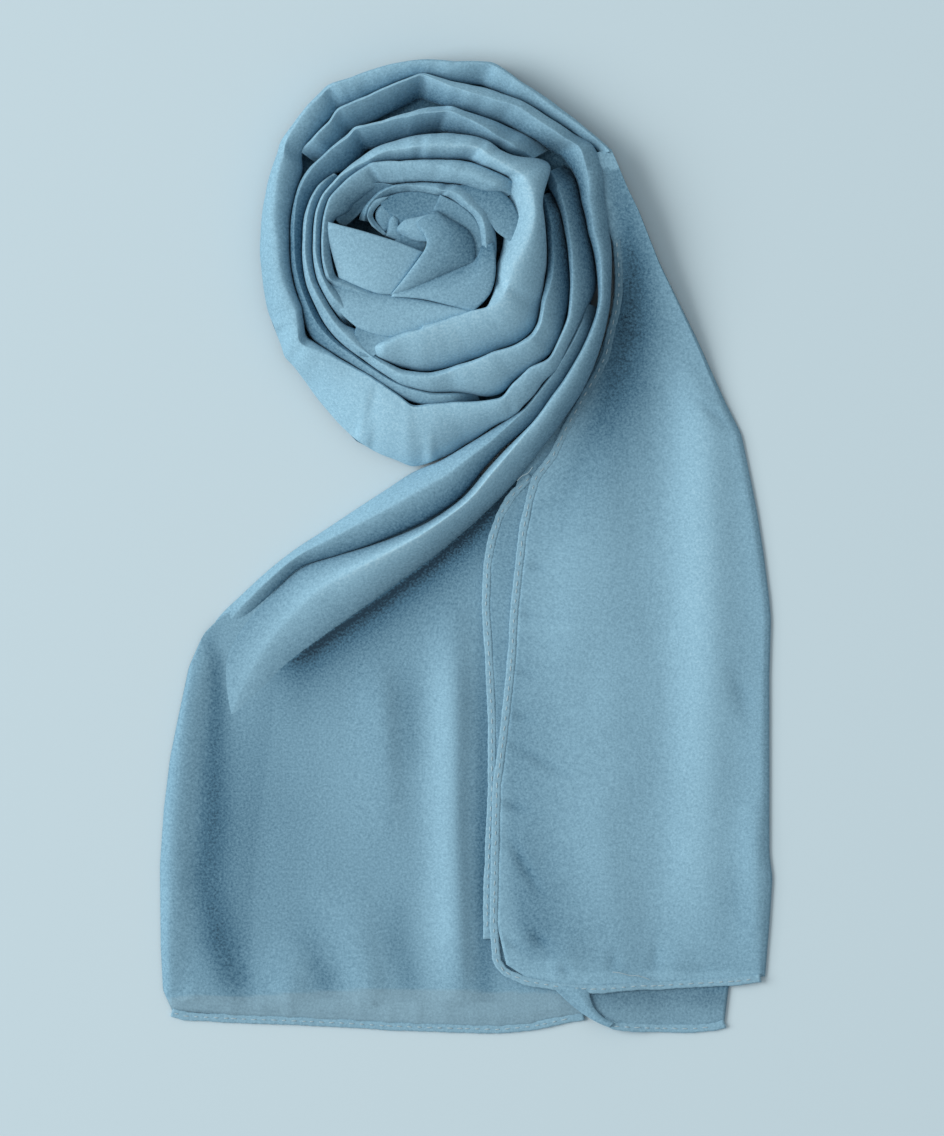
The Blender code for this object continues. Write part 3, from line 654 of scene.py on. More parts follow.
profileSteps = (0.0, 0.2, 0.4, 0.6, 0.8, 0.93)


def toneProfile(crest, low, high, drift=0.0, thin=0.0):
    """Painted light and shade across one fold, in step with the points of foldProfile."""
    tones = [low] * 2 + [low + (crest - low) * step for step in profileSteps] + [crest]
    tones += [high + (crest - high) * step for step in reversed(profileSteps)] + [high] * 2
    return [(tone + drift, thin) for tone in tones]


# The long folds that climb from the left tail. A row: lower right side, upper left side,
# share of the way across at which it is highest, and its heights at the crest and sides.
longFolds = {
    "fold_a": [
        (-153, -58, -161, -49, 0.50, 0.9, 0.5, 0.5),
        (-147, -52, -156, -43, 0.50, 2.8, 1.5, 1.6),
        (-140, -45, -146, -33.5, 0.55, 5.4, 2.6, 2.2),
        (-122, -28, -127, -16, 0.60, 9.0, 4.0, 2.6),
        (-106, -14, -109, -2, 0.60, 10.5, 5.0, 3.0),
        (-84, -7, -92, 9, 0.62, 13.5, 7.0, 3.5),
        (-62, 0, -71, 23, 0.62, 16.0, 9.0, 4.0),
        (-40, 9, -51, 36, 0.60, 18.0, 10.0, 4.5),
        (-22, 18, -34, 47, 0.60, 19.5, 11.0, 5.0),
        (-4, 31, -17, 54, 0.62, 21.0, 12.0, 12.0),
        (11, 49, 0, 64, 0.60, 22.0, 14.0, 16.0),
        (22, 61, 13, 72, 0.58, 22.5, 16.0, 18.0),
    ],
    "left_arm_turn_1": [
        (-146, -128, -162, -92, 0.40, 2.6, 0.4, 0.6),
        (-136, -108, -157, -72, 0.42, 4.6, 1.4, 2.6),
        (-123, -88, -145, -53, 0.46, 6.4, 2.2, 3.0),
        (-109, -73, -127, -33, 0.52, 8.4, 2.6, 3.0),
        (-87, -56, -107, -15, 0.58, 12.0, 2.8, 4.0),
        (-68, -42, -84, -7, 0.64, 15.0, 3.0, 7.0),
        (-46, -26, -62, -0.5, 0.68, 17.5, 3.0, 10.0),
        (-23, -9, -39, 8, 0.72, 19.0, 3.4, 12.0),
        (0, 10, -21, 17, 0.76, 20.5, 4.0, 13.0),
        (13, 22, -2, 31, 0.76, 21.5, 5.0, 15.0),
        (27, 36, 12.5, 48, 0.78, 22.5, 6.0, 17.0),
        (39, 50, 24, 60.5, 0.80, 23.5, 7.0, 19.0),
    ],
}
# Painted light and shade along them: row, tone at the crest, at the lower right side, at the upper left
# side
longTones = {
    "fold_a": [(0, 0.60, 0.52, 0.58), (3, 0.70, 0.06, 0.72), (6, 0.78, 0.0, 0.80),
               (9, 0.74, -0.10, 0.66), (11, 0.60, 0.0, 0.40)],
    "left_arm_turn_1": [(0, 0.62, 0.52, 0.50), (3, 0.84, 0.34, 0.30), (6, 1.16, 0.34, 0.16),
                        (9, 1.14, 0.20, 0.10), (11, 1.10, 0.24, 0.20)],
}


def curveRow(rows, at, column):
    """Smooth reading between numbered rows, through every one of them."""
    i = min(int(at), len(rows) - 2)
    t = at - i
    a, b, c, d = (rows[min(max(i + k, 0), len(rows) - 1)][column] for k in (-1, 0, 1, 2))
    return b + 0.5 * t * (c - a + t * (2 * a - 5 * b + 4 * c - d + t * (3 * (b - c) + d - a)))


def rowProfiles(rows, foot, perRow, toneRows=((0, 0.6, 0.5, 0.5),)):
    profiles, tones = [], []
    for i in range((len(rows) - 1) * perRow + 1):
        at = i / perRow
        lowX, lowY, highX, highY, crest, top, lowTop, highTop = (
            curveRow(rows, at, column) for column in range(8))
        top += 0.5 * waver(lowX * 0.04, lowY * 0.04, 0.0, 9.4)
        profiles.append(foldProfile((lowX, lowY), (highX, highY), crest, top, lowTop,
                                    highTop, min(foot, lowTop - 0.3), min(foot, highTop - 0.3),
                                    1.15, 1.5))
        tones.append(toneProfile(*(readRow(toneRows, at, column) for column in (1, 2, 3))))
    return profiles, tones


def makeTurns(materials):
    for name, turn in turns.items():
        profiles, tones = turnProfiles(name)
        if name in longFolds:
            lower, lowerTones = rowProfiles(longFolds[name], 0.2, 6, longTones[name])
            profiles, tones = lower + profiles[1:], lowerTones + tones[1:]
        piece = meshFromRows(name + "Cloth", profiles, tones)
        finishCloth(piece, materials["cloth"])
        declare(piece, [name])
        print("made", piece.name, len(piece.data.polygons))


# The windings in the middle. Each is a patch: x, y, z along its four sides, how much it
# bulges, how far its border turns down.
# Patch tones and fades are painted light and shade: pale where a winding faces the light, deep where it
# lies low in shade; under is painted shade along a top edge beneath another winding
heart = {
    "heart_petal": {
        "flat": (0.040, 0.072), "slot": "cloth", "bulge": 0.8, "turnDown": 7.0,
        "top": [(-88.6, 205.9, 44.5), (-78.7, 203, 45.5), (-68.5, 200.3, 46), (-53.8, 195.8, 46),
                (-43.5, 192.6, 45.5), (-28.2, 186.6, 44.5)],
        "right": [(-28.2, 186.6, 44.5), (-33, 179.8, 43.5), (-40, 170.2, 42.5),
                  (-48.3, 159.8, 41.0)],
        "bottom": [(-81.3, 170.2, 39.5), (-71, 165.8, 40.5), (-63, 162.6, 41),
                   (-56, 160.3, 41.2), (-48.3, 159.8, 41.0)],
        "left": [(-88.6, 205.9, 44.5), (-88.3, 196.5, 43.5), (-85.8, 185.6, 41.5),
                 (-81.3, 170.2, 39.5)],
        "tone": 0.72, "fade": (-0.20, 0.20),
    },
    "heart_dome": {
        "flat": (0.042, 0.062), "slot": "cloth", "bulge": 3.2, "turnDown": 7.0,
        "top": [(-32, 205.1, 45.5), (-26, 209.5, 44.5), (-19.8, 212.5, 43.5),
                (-14.1, 209, 43.5), (-9.6, 206.7, 43), (-5.1, 204.2, 42.5),
                (-0.9, 202, 42)],
        "right": [(-0.9, 202, 42), (2.9, 197.3, 41.5), (5.1, 190.3, 41.2), (5.1, 182.6, 41),
                  (5.1, 180.7, 41)],
        "bottom": [(-48.3, 159.7, 42.0), (-39.7, 161.7, 42), (-28.2, 166.4, 41.6),
                   (-16.6, 171.7, 41.2), (-5.1, 176.6, 41), (5.1, 180.7, 41)],
        "left": [(-32, 205.1, 45.5), (-27.6, 198.6, 47), (-25, 192, 47.6), (-28.2, 185.6, 47.2),
                 (-32, 180.5, 46.4), (-39.7, 170.2, 44.4), (-48.3, 159.7, 42.0)],
        "tone": 0.30, "fade": (-0.66, 0.36),
    },
    "heart_nub": {
        "flat": (0.024, 0.028), "slot": "cloth_shade", "bulge": 1.6, "turnDown": 6.0,
        "top": [(-44.4, 202, 40.5), (-39.7, 206.7, 41.8), (-32, 208.6, 42.5), (-25, 210.4, 42)],
        "right": [(-25, 210.4, 42), (-26.4, 204.0, 43.2), (-26.0, 199, 43), (-25.6, 193.5, 41.5)],
        "bottom": [(-41.6, 197.4, 38.5), (-36.5, 195, 39.5), (-31, 193.6, 40.5),
                   (-25.6, 193.5, 41.5)],
        "left": [(-44.4, 202, 40.5), (-44, 200, 40), (-43, 198.6, 39), (-41.6, 197.4, 38.5)],
        "tone": 0.62, "fade": (0.20, 0.0),
    },
}
# Smaller windings that show between them
windings = {
    "heartApron": {
        "flat": (0.048, 0.060), "slot": "cloth_shade", "bulge": 1.6, "turnDown": 8.0,
        "top": [(-47.7, 160.4, 41.6), (-36, 164.2, 40.8), (-20.5, 171.2, 40.2),
                (4, 181.6, 40.2), (9, 190.5, 41.5), (17.1, 192.5, 43.0)],
        "right": [(17.1, 192.5, 43.0), (18.2, 177.6, 43.4), (16.6, 165.6, 43.6),
                  (12.6, 157.4, 43.4), (3.5, 148.5, 42.6)],
        "bottom": [(-47.7, 158.2, 41.2), (-28.5, 156.8, 42.2), (-10.9, 152.8, 42.8),
                   (3.5, 148.5, 42.6)],
        "left": [(-47.7, 160.4, 41.6), (-47.7, 158.2, 41.2)],
        "tone": 0.56, "fade": (-0.30, 0.20), "under": 0.5,
    },
    "heartLip": {
        "flat": (0.022, 0.052), "slot": "cloth_shade", "bulge": 0.6, "turnDown": 6.0,
        "top": [(-17, 223.0, 39.8), (-6, 217.5, 40.0), (4, 209.0, 40.2),
                (10, 198.0, 40.2), (10.5, 186.0, 40.0)],
        "right": [(10.5, 186.0, 40.0), (5.1, 181.6, 39.6)],
        "bottom": [(-22.1, 212.8, 39.6), (-14.1, 207.2, 39.8), (-4.5, 200.0, 39.8),
                   (2.2, 192.0, 39.6), (5.1, 181.6, 39.6)],
        "left": [(-17, 223.0, 39.8), (-19.5, 218.0, 39.8), (-22.1, 212.8, 39.6)],
        "tone": 0.30, "fade": (0.0, -0.3),
    },

    "heartStrip": {
        "flat": (0.034, 0.052), "slot": "cloth_shade", "bulge": 0.5, "turnDown": 7.0,
        "top": [(-14, 228.0, 38.6), (2, 229.5, 38.6), (18, 227.0, 38.8), (28, 219.0, 39.4),
                (34, 207.0, 40.0)],
        "right": [(34, 207.0, 40.0), (32, 199.0, 40.0), (29, 192.5, 39.6)],
        "bottom": [(-6, 219.0, 39.8), (4, 213.5, 40.2), (14, 206.0, 40.4), (19, 199.5, 40.2),
                   (29, 192.5, 39.6)],
        "left": [(-14, 228.0, 38.6), (-10, 223.0, 39.4), (-6, 219.0, 39.8)],
        "tone": 0.26, "fade": (0.1, 0.5),
    },

    "heartFan": {
        "flat": (0.026, 0.036), "slot": "cloth_shade", "bulge": 0.5, "turnDown": 7.0,
        "top": [(-70, 140.0, 39.4), (-58, 136.0, 39.8), (-41, 134.0, 40.2)],
        "right": [(-41, 134.0, 40.2), (-51, 127.0, 40.2), (-60, 120.0, 39.6)],
        "bottom": [(-68, 121.0, 39.2), (-64, 120.0, 39.4), (-60, 120.0, 39.6)],
        "left": [(-70, 140.0, 39.4), (-72, 131.0, 39.2), (-68, 121.0, 39.2)],
        "tone": 0.44, "fade": (0.6, 0.0),
    },

    "heartBowl": {
        "flat": (0.026, 0.050), "slot": "cloth_shade", "bulge": 0.4, "turnDown": 6.0,
        "top": [(-57.5, 219.5, 38.6), (-42.9, 224.2, 39.2), (-30.1, 224.8, 39.2),
                (-16.0, 222.0, 39.2)],
        "right": [(-16.0, 222.0, 39.2), (-14.1, 212.6, 39.4), (-11, 205, 38.6)],
        "bottom": [(-44.5, 203.8, 37.0), (-36, 205.0, 37.6), (-24, 206.0, 38.0),
                   (-11, 205, 38.6)],
        "left": [(-57.5, 219.5, 38.6), (-50.9, 212.8, 38.0), (-44.5, 203.8, 37.0)],
        "tone": 0.20, "fade": (0.24, 0.20),
    },
    "heartUnder": {
        "flat": (0.040, 0.096), "slot": "cloth_shade", "bulge": 2.2, "turnDown": 9.0,
        "top": [(-90, 165.8, 39.0), (-81.5, 166.2, 38.8), (-65, 162.2, 39.0),
                (-49, 159.4, 39.4), (-28.5, 156.2, 40.2), (-11, 152.4, 41.0),
                (3.5, 149.2, 41.2)],
        "right": [(3.5, 149.2, 41.2), (3.0, 147.0, 41.4)],
        "bottom": [(-70, 138.8, 40.4), (-57, 133.8, 41.0), (-41, 132.6, 41.2),
                   (-25, 138, 41.2), (-8, 144.4, 41.2), (3.0, 147.0, 41.4)],
        "left": [(-90, 165.8, 39.0), (-86, 156.8, 39.6), (-79.7, 147.2, 40.0),
                 (-70, 138.8, 40.4)],
        "tone": 0.74, "fade": (0.14, -0.10), "under": 0.6,
    },
    "heartLoop": {
        "flat": (0.035, 0.030), "slot": "cloth_shade", "bulge": 0.6, "turnDown": 8.0,
        "top": [(-62, 216.5, 38.5), (-58.9, 219.5, 39.5), (-55, 221, 40), (-50, 221.8, 40)],
        "right": [(-50, 221.8, 40), (-56, 216.5, 37.5), (-60, 211, 35), (-58, 206, 35),
                  (-50.5, 197.6, 37)],
        "bottom": [(-60.5, 203.5, 38), (-57, 200.5, 38), (-53, 197.6, 37.5), (-50.5, 197.6, 37)],
        "left": [(-62, 216.5, 38.5), (-63, 212, 39), (-63, 208, 39), (-60.5, 203.5, 38)],
        "tone": 0.50,
    },
    "heartLeaf": {
        "flat": (0.020, 0.026), "slot": "cloth_shade", "bulge": 1.2, "turnDown": 7.0,
        "top": [(-58, 212.5, 35.5), (-55.5, 216, 36.5), (-52.5, 218, 37)],
        "right": [(-52.5, 218, 37), (-48, 212, 36.5), (-44.5, 207, 36)],
        "bottom": [(-52.5, 199, 35), (-50, 202, 35.5), (-44.5, 207, 36)],
        "left": [(-58, 212.5, 35.5), (-58, 208, 35.5), (-55.5, 203, 35), (-52.5, 199, 35)],
        "tone": 0.34,
    },
    "heartTip": {
        "flat": (0.018, 0.020), "slot": "cloth_shade", "bulge": 1.0, "turnDown": 7.0,
        "top": [(-49.5, 207, 37.5), (-47, 209.5, 38.5), (-44, 207.5, 38.5)],
        "right": [(-44, 207.5, 38.5), (-43.5, 203, 38), (-41, 198, 38), (-38.5, 194.5, 38)],
        "bottom": [(-51.5, 197, 38), (-45, 194.6, 38.5), (-38.5, 194.5, 38)],
        "left": [(-49.5, 207, 37.5), (-50, 203, 37.5), (-51.5, 197, 38)],
        "tone": 0.42,
    },
    "heartPocket": {
        "flat": (0.024, 0.016), "slot": "cloth_shade", "bulge": 0.5, "turnDown": 5.0,
        "top": [(-43, 195.6, 39), (-38, 199.0, 39), (-33, 196, 38), (-25, 193.0, 37.5)],
        "right": [(-25, 193.0, 37.5), (-26.6, 189, 37.5), (-28.2, 185.6, 38)],
        "bottom": [(-46, 193.6, 40), (-39, 190.5, 39.5), (-28.2, 185.6, 38)],
        "left": [(-43, 195.6, 39), (-45, 194.5, 39.5), (-46, 193.6, 40)],
        "tone": 0.30,
    },
    "heartInnerWall": {
        "flat": (0.050, 0.026), "slot": "cloth_shade", "bulge": -1.5, "turnDown": 6.0,
        "top": [(-84, 209, 40), (-78, 219, 40), (-66, 228.5, 40), (-54, 230.5, 40),
                (-40, 227.5, 40)],
        "right": [(-40, 227.5, 40), (-46, 225, 36), (-54, 222, 32)],
        "bottom": [(-78, 203, 30), (-72, 208, 29), (-66, 214, 30), (-60, 219, 31),
                   (-54, 222, 32)],
        "left": [(-84, 209, 40), (-82, 205.5, 36), (-78, 203, 30)],
        "tone": 0.26,
    },
}


def alongCurve(points, share):
    """A point on the smooth line through the given ones."""
    at = share * (len(points) - 1)
    return tuple(curveRow(points, at, column) for column in range(3))


def patchRows(part, columns, rows):
    plan = []
    for j in range(rows + 1):
        down = j / rows
        line = []
        for i in range(columns + 1):
            across = i / columns
            top, bottom = alongCurve(part["top"], across), alongCurve(part["bottom"], across)
            left, right = alongCurve(part["left"], down), alongCurve(part["right"], down)
            x, y, z = (
                (1 - down) * top[k] + down * bottom[k] + (1 - across) * left[k]
                + across * right[k] - (1 - across) * (1 - down) * part["top"][0][k]
                - across * (1 - down) * part["top"][-1][k]
                - (1 - across) * down * part["bottom"][0][k]
                - across * down * part["bottom"][-1][k] for k in range(3))
            swell = (16.0 * across * (1 - across) * down * (1 - down)) ** 0.7
            line.append((x, y, z + part["bulge"] * swell))
        plan.append(line)
    return plan


def turnDown(plan, drop):
    """Adds the folded-under border all round a patch."""
    middleX = sum(p[0] for line in plan for p in line) / (len(plan) * len(plan[0]))
    middleY = sum(p[1] for line in plan for p in line) / (len(plan) * len(plan[0]))

    def under(point, share, deep):
        x, y, z = point
        away = math.hypot(x - middleX, y - middleY) + 1e-6
        return (x + share * (x - middleX) / away, y + share * (y - middleY) / away, z - deep)

    wide = []
    for line in plan:
        wide.append([under(line[0], 0.2, drop), under(line[0], 0.5, 1.2)] + line
                    + [under(line[-1], 0.5, 1.2), under(line[-1], 0.2, drop)])
    head = [under(p, 0.5, 1.2) for p in wide[0]]
    foot = [under(p, 0.5, 1.2) for p in wide[-1]]
    return ([[under(p, -0.3, drop) for p in head], head] + wide
            + [foot, [under(p, -0.3, drop) for p in foot]])


def makePatch(name, part, material):
    plan = turnDown(patchRows(part, 16, 12), part["turnDown"])
    rows = [[put(*point) for point in line] for line in plan]
    across, down = part.get("fade", (0.0, 0.0))
    wide, long = len(plan[0]) - 1, len(plan) - 1
    under = part.get("under", 0.0)
    # painted tone: a fade from light to shade, painted shade under the winding above, and a border painted
    # 0.3 darker as shade
    tones = [[(part["tone"] + across * (i / wide - 0.5) + down * (j / long - 0.5)
               - under * math.exp(-(4.0 * j / long) ** 2)
               - (0.3 if i in (0, wide) or j in (0, long) else 0.0), 0.0)
              for i in range(wide + 1)] for j in range(long + 1)]
    piece = meshFromRows(name, rows, tones)
    return finishCloth(piece, material)


def makeHeart(materials):
    for name, part in heart.items():
        piece = makePatch(name + "Cloth", part, materials["cloth"])
        declare(piece, [name])
        print("made", piece.name, len(piece.data.polygons))
    for name, part in windings.items():
        piece = makePatch(name, part, materials["cloth"])
        declare(piece, [])
        print("made", piece.name, len(piece.data.polygons))


# The flat tails

layerPitch = 1.8
tails = {
    "left_tail_upper": {
        "flat": (0.26, 0.295), "slot": "cloth", "restsOn": ["left_tail_lower"],
        "tuck": ["bottom"],
        "top": [(-171.5, -62), (-168.3, -56), (-158.5, -46.5), (-150, -41), (-126, -23),
                (-107, -9), (-88, 0), (-64, 8), (-42, 18), (-24, 30), (-4, 40), (22, 50),
                (41, 54), (52, 52)],
        "right": [(52, 52), (68, 40), (80, 10), (84, -80), (84, -200), (77, -298)],
        "bottom": [(-190, -295), (-139, -299), (-77, -302), (-17, -305), (21, -306),
                   (42, -304), (65, -299), (77, -298)],
        "left": [(-171, -62), (-178, -78), (-185, -111), (-190, -136), (-194, -169),
                 (-196.5, -205), (-196, -257), (-194.5, -285), (-190, -295)],
        "grid": (150, 170),
    },
    "left_tail_lower": {
        "flat": (0.245, 0.26), "slot": "cloth_shade", "restsOn": [], "tuck": [],
        "top": [(-164, -88), (-128, -90), (-84, -61), (-54, -41), (-23, -18), (22, 22),
                (46, 44)],
        "right": [(46, 44), (60, 34), (72, 8), (77, -80), (78, -200), (72, -281)],
        "bottom": [(-189, -284), (-139, -281), (-62, -277), (11, -278), (72, -281)],
        "left": [(-164, -88), (-176, -112), (-182, -138), (-188, -205), (-189, -257),
                 (-189, -284)],
        "grid": (30, 30),
    },
    "right_tail_upper": {
        "flat": (0.175, 0.53), "area": 0.066, "slot": "cloth",
        "restsOn": ["right_tail_lower"], "tuck": ["left", "bottom"],
        "top": [(76, 249), (92.5, 253)],
        "right": [(92.5, 253), (96, 245), (103, 228), (110, 214), (123, 181), (148, 130), (165, 92),
                  (175.5, 71), (179.5, 52), (185.5, 22), (190, -7), (193.5, -35),
                  (194.5, -48), (193.5, -83), (193.5, -136), (193.5, -198), (195.5, -213),
                  (193.5, -243), (191, -273)],
        "bottom": [(27, -267), (38, -274), (62, -279), (83, -280), (115, -278), (144, -277),
                   (173, -275), (191, -273)],
        "left": [(76, 249), (84, 237), (89, 222), (91.5, 207), (96, 192), (100.5, 177),
                 (101.5, 161),
                 (99.5, 148), (96.5, 137), (93.5, 122), (88.5, 111), (81.5, 99), (67.5, 74),
                 (59.5, 57), (48.5, 43), (44.5, 29), (40.5, 10), (38.5, -7), (36.5, -25),
                 (34.5, -44), (33.5, -66), (31.5, -88), (29.5, -106), (27.5, -125),
                 (23.5, -154), (22.5, -198), (21.5, -243), (27, -267)],
        "grid": (110, 260),
    },
    "right_tail_lower": {
        "flat": (0.155, 0.51), "area": 0.062, "slot": "cloth_shade",
        "restsOn": ["left_tail_upper"], "tuck": ["left", "bottom"],
        "top": [(97, 205), (104, 205)],
        "right": [(104, 205), (132, 135), (158, 80), (172, 20), (182, -40), (182, -140),
                  (174, -230), (165, -303)],
        "bottom": [(20, -262), (40, -272), (56, -278), (84, -298), (95, -305), (144, -306.2),
                   (165, -303)],
        "left": [(97, 205), (99, 170), (95, 145), (86, 116), (70, 92), (50, 70), (38, 50),
                 (33, 33), (25, 19), (20, 4), (17, -13), (16, -40), (18, -70), (20, -113),
                 (20, -154), (18, -198), (17, -245), (20, -262)],
        "grid": (70, 130),
    },
}

# Soft folds down the tails. A row: y, x of the crest, half its width to the left and to the
# right, its height
reliefs = {
    "left_tail_upper": [
        [(-294, -5, 12, 8, 0.8), (-275, -5, 12, 8, 3.0), (-250, -6, 13, 8, 4.4),
         (-180, -8, 14, 8, 4.8), (-100, -8, 14, 9, 4.6), (-60, -9, 14, 11, 2.4),
         (-30, -10, 14, 12, 0.0)],
        [(-200, -50, 14, 10, 0.0), (-180, -50, 14, 10, 0.8), (-137, -52, 14, 8, 2.4),
         (-100, -54, 14, 9, 2.8), (-70, -56, 14, 9, 0.0)],
        [(-294, -62, 12, 10, 1.2), (-278, -64, 14, 11, 3.0), (-250, -70, 17, 14, 2.8),
         (-210, -72, 16, 16, 0.0)],
        [(-295, -113, 10, 10, 1.0), (-284, -113, 12, 10, 2.4), (-270, -112, 14, 11, 1.6),
         (-245, -108, 14, 12, 0.0)],
        [(-286, -190, 4, 9, 1.0), (-250, -190, 6, 11, 2.6), (-180, -187, 6, 11, 3.0),
         (-100, -178, 7, 10, 3.0), (-72, -170, 6, 8, 1.4), (-62, -168, 5, 6, 0.4)],
        [(-292, -176, 6, 6, 1.4), (-280, -176, 8, 8, 0.6), (-270, -176, 8, 8, 0.0)],
        [(-293, -139, 8, 8, -0.8), (-270, -146, 12, 12, -1.0), (-240, -156, 12, 14, 0.0)],
    ],
    "right_tail_upper": [
        [(-270, 150, 18, 14, 0.6), (-230, 150, 20, 16, 2.4), (-200, 149, 20, 16, 3.0),
         (-100, 155, 19, 16, 3.6), (-60, 155, 18, 16, 4.4), (40, 153, 18, 16, 4.8),
         (84, 151, 16, 14, 4.2), (108, 141, 14, 10, 1.4), (128, 132, 10, 8, 0.0)],
        [(-270, 184, 9, 6, 0.0), (-240, 184, 9, 6, 1.4), (-190, 184, 9, 7, 1.8),
         (-150, 184, 9, 7, 0.0)],
        [(-100, 62, 12, 14, 0.0), (-40, 70, 14, 18, 1.4), (20, 76, 14, 20, 1.6),
         (60, 84, 10, 16, 0.0)],
        [(-262, 104, 20, 18, 0.0), (-230, 92, 20, 18, 1.2), (-180, 80, 18, 18, 1.0),
         (-120, 78, 14, 18, 0.0)],
        [(-278, 60, 8, 10, 0.4), (-266, 62, 9, 11, 1.6), (-245, 64, 10, 12, 0.6),
         (-225, 66, 10, 12, 0.0)],
        [(-278, 132, 9, 12, 0.3), (-268, 134, 10, 12, 1.2), (-245, 134, 12, 12, 0.0)],
    ],
}

# Short puckers: from, to, half the width, depth (below nought it is a small ridge)
puckers = {
    "left_tail_upper": [],
    "right_tail_upper": [
        (41, -13, 52, -16, 2.6, 0.9), (32, -80, 46, -84, 2.4, 0.8), (29, -108, 44, -112, 2.6, 0.9),
        (31, -129, 70, -151, 3.2, 1.0), (24, -165, 40, -170, 3.0, 1.2),
        (28, -190, 49, -227, 3.4, 1.2), (42, -249, 52, -257, 3.6, 1.5),
        (31, -44.2, 56, -46, 0.9, 0.8), (33, -52.5, 92, -54.4, 2.8, -0.5),
        (24, -252, 40, -262, 3.0, 0.9), (60, -268, 66, -276, 3.0, 0.9),
        (94, -262, 92, -276, 4.0, 0.8), (122, -255, 118, -275, 4.0, 0.7),
        (172, -83, 180, -115, 6.0, 1.0),
        (148, 92, 172, 72, 3.4, 1.0),
    ],
}

# Where layers under the sheer cloth make it deeper, and painted light and shade: the lit and
# shaded flanks of soft folds and the rosette's cast shadow. A row: y, x, half the width to the left and to
# the right, change of tone
shades = {
    "left_tail_upper": [
        [(-300, -146, 14, 10, -0.04), (-292, -146, 14, 12, -0.16), (-278, -147, 16, 11, -0.30),
         (-253, -159, 14, 14, -0.30), (-214, -166, 14, 14, -0.22), (-176, -162, 12, 11, -0.22),
         (-137, -162, 10, 10, -0.22), (-99, -160, 7, 7, -0.30), (-74, -161, 5, 6, -0.28),
         (-62, -165, 4, 5, -0.16), (-50, -158, 4, 4, 0.0)],
        [(-292, -150, 20, 20, 0.0), (-253, -160, 14, 36, -0.16), (-214, -166, 14, 54, -0.22),
         (-176, -163, 12, 54, -0.22), (-137, -161, 10, 46, -0.18), (-99, -158, 8, 36, -0.08),
         (-70, -158, 8, 20, 0.0)],
        [(-283, -138.9, 16, 0.9, -0.02), (-250, -138.9, 16, 0.9, -0.05),
         (-190, -135, 16, 0.9, -0.06), (-125, -126.7, 16, 0.9, -0.06),
         (-101, -124.8, 12, 0.9, -0.06), (-80, -122, 10, 0.9, 0.0)],
        [(-290, -14, 12, 9, 0.05), (-250, -15, 14, 9, 0.16), (-180, -14, 15, 9, 0.20),
         (-90, -14, 15, 9, 0.20), (-55, -14, 14, 10, 0.05), (-40, -14, 14, 10, 0.0)],
        [(-292, 11, 6, 8, -0.20), (-220, 10, 6, 8, -0.42), (-110, 10, 5, 8, -0.30),
         (-40, 10, 4, 8, -0.05), (-20, 12, 4, 8, 0.0)],
        [(-290, -91, 8, 10, -0.14), (-278, -91, 9, 9, -0.26), (-255, -100, 13, 14, -0.16),
         (-225, -104, 12, 14, 0.0)],
        [(-292, -36, 9, 7, -0.10), (-278, -37, 10, 8, -0.20), (-252, -44, 11, 10, -0.18),
         (-215, -46, 11, 10, 0.0)],
        [(-150, -36, 8, 8, 0.0), (-130, -37, 9, 9, -0.12), (-98, -37, 10, 9, -0.14),
         (-70, -38, 10, 9, 0.0)],
    ],
    "right_tail_upper": [
        [(-268, 148, 22, 14, 0.0), (-200, 147, 22, 16, 0.16), (-100, 150, 22, 18, 0.22),
         (40, 150, 24, 20, 0.26), (84, 149, 20, 14, 0.22), (105, 141, 14, 10, 0.10),
         (125, 134, 10, 10, 0.0)],
        [(-266, 44, 8, 30, -0.16), (-258, 42, 8, 34, -0.32), (-245, 38, 8, 38, -0.40),
         (-210, 34, 8, 36, -0.34), (-150, 30, 8, 30, -0.26), (-90, 30, 8, 20, -0.14),
         (-40, 34, 6, 10, -0.08), (0, 40, 6, 8, -0.04), (30, 45, 6, 10, -0.10)],
        [(-273, 120, 90, 90, -0.14), (-255, 120, 90, 90, -0.08), (-200, 120, 90, 90, 0.0)],
        [(-255, 182, 8, 5, 0.0), (-225, 171, 8, 8, -0.12), (-200, 171, 8, 8, 0.0)],
        [(-10, 50, 14, 40, 0.0), (20, 60, 14, 46, -0.16), (60, 78, 16, 38, -0.44),
         (100, 93, 14, 30, -0.74), (140, 102, 12, 25, -0.86), (175, 105, 10, 18, -0.80),
         (205, 102, 10, 14, -0.62), (240, 95, 12, 10, -0.42)],
    ],
}

# The lower edge of fold B, where its painted soft shadow starts: x, y
shadowLine = [(-131, -84), (-109, -73), (-84, -55), (-54, -35), (-23, -12), (1, 8), (22, 28),
              (41, 48)]
# Below this line the left tail is one sheer layer: x, y
sheerLine = [(-195, -290.5), (-180, -287.4), (-139, -288), (-106, -285.5), (-62, -283.5),
             (-18, -283.5), (11, -285), (60, -286)]

rise = {"height": 17.0, "fromY": 70.0, "toY": 235.0}
step = {"x": 86.0, "runX": 46.0, "y": 56.0, "runY": 56.0}


def along(points, share):
    lengths = [math.dist(a, b) for a, b in zip(points, points[1:])]
    left = share * sum(lengths)
    for a, b, length in zip(points, points[1:], lengths):
        if left <= length or b is points[-1]:
            part = min(left / length, 1.0)
            return (a[0] + part * (b[0] - a[0]), a[1] + part * (b[1] - a[1]))
        left -= length
    return points[-1]


def easedLine(points, count):
    """Even points along a line, with its corners eased."""
    line = [along(points, i / count) for i in range(count + 1)]
    for _ in range(2):
        line = [line[0]] + [
            tuple(0.25 * a[k] + 0.5 * b[k] + 0.25 * c[k] for k in (0, 1))
            for a, b, c in zip(line, line[1:], line[2:])] + [line[-1]]
    return line


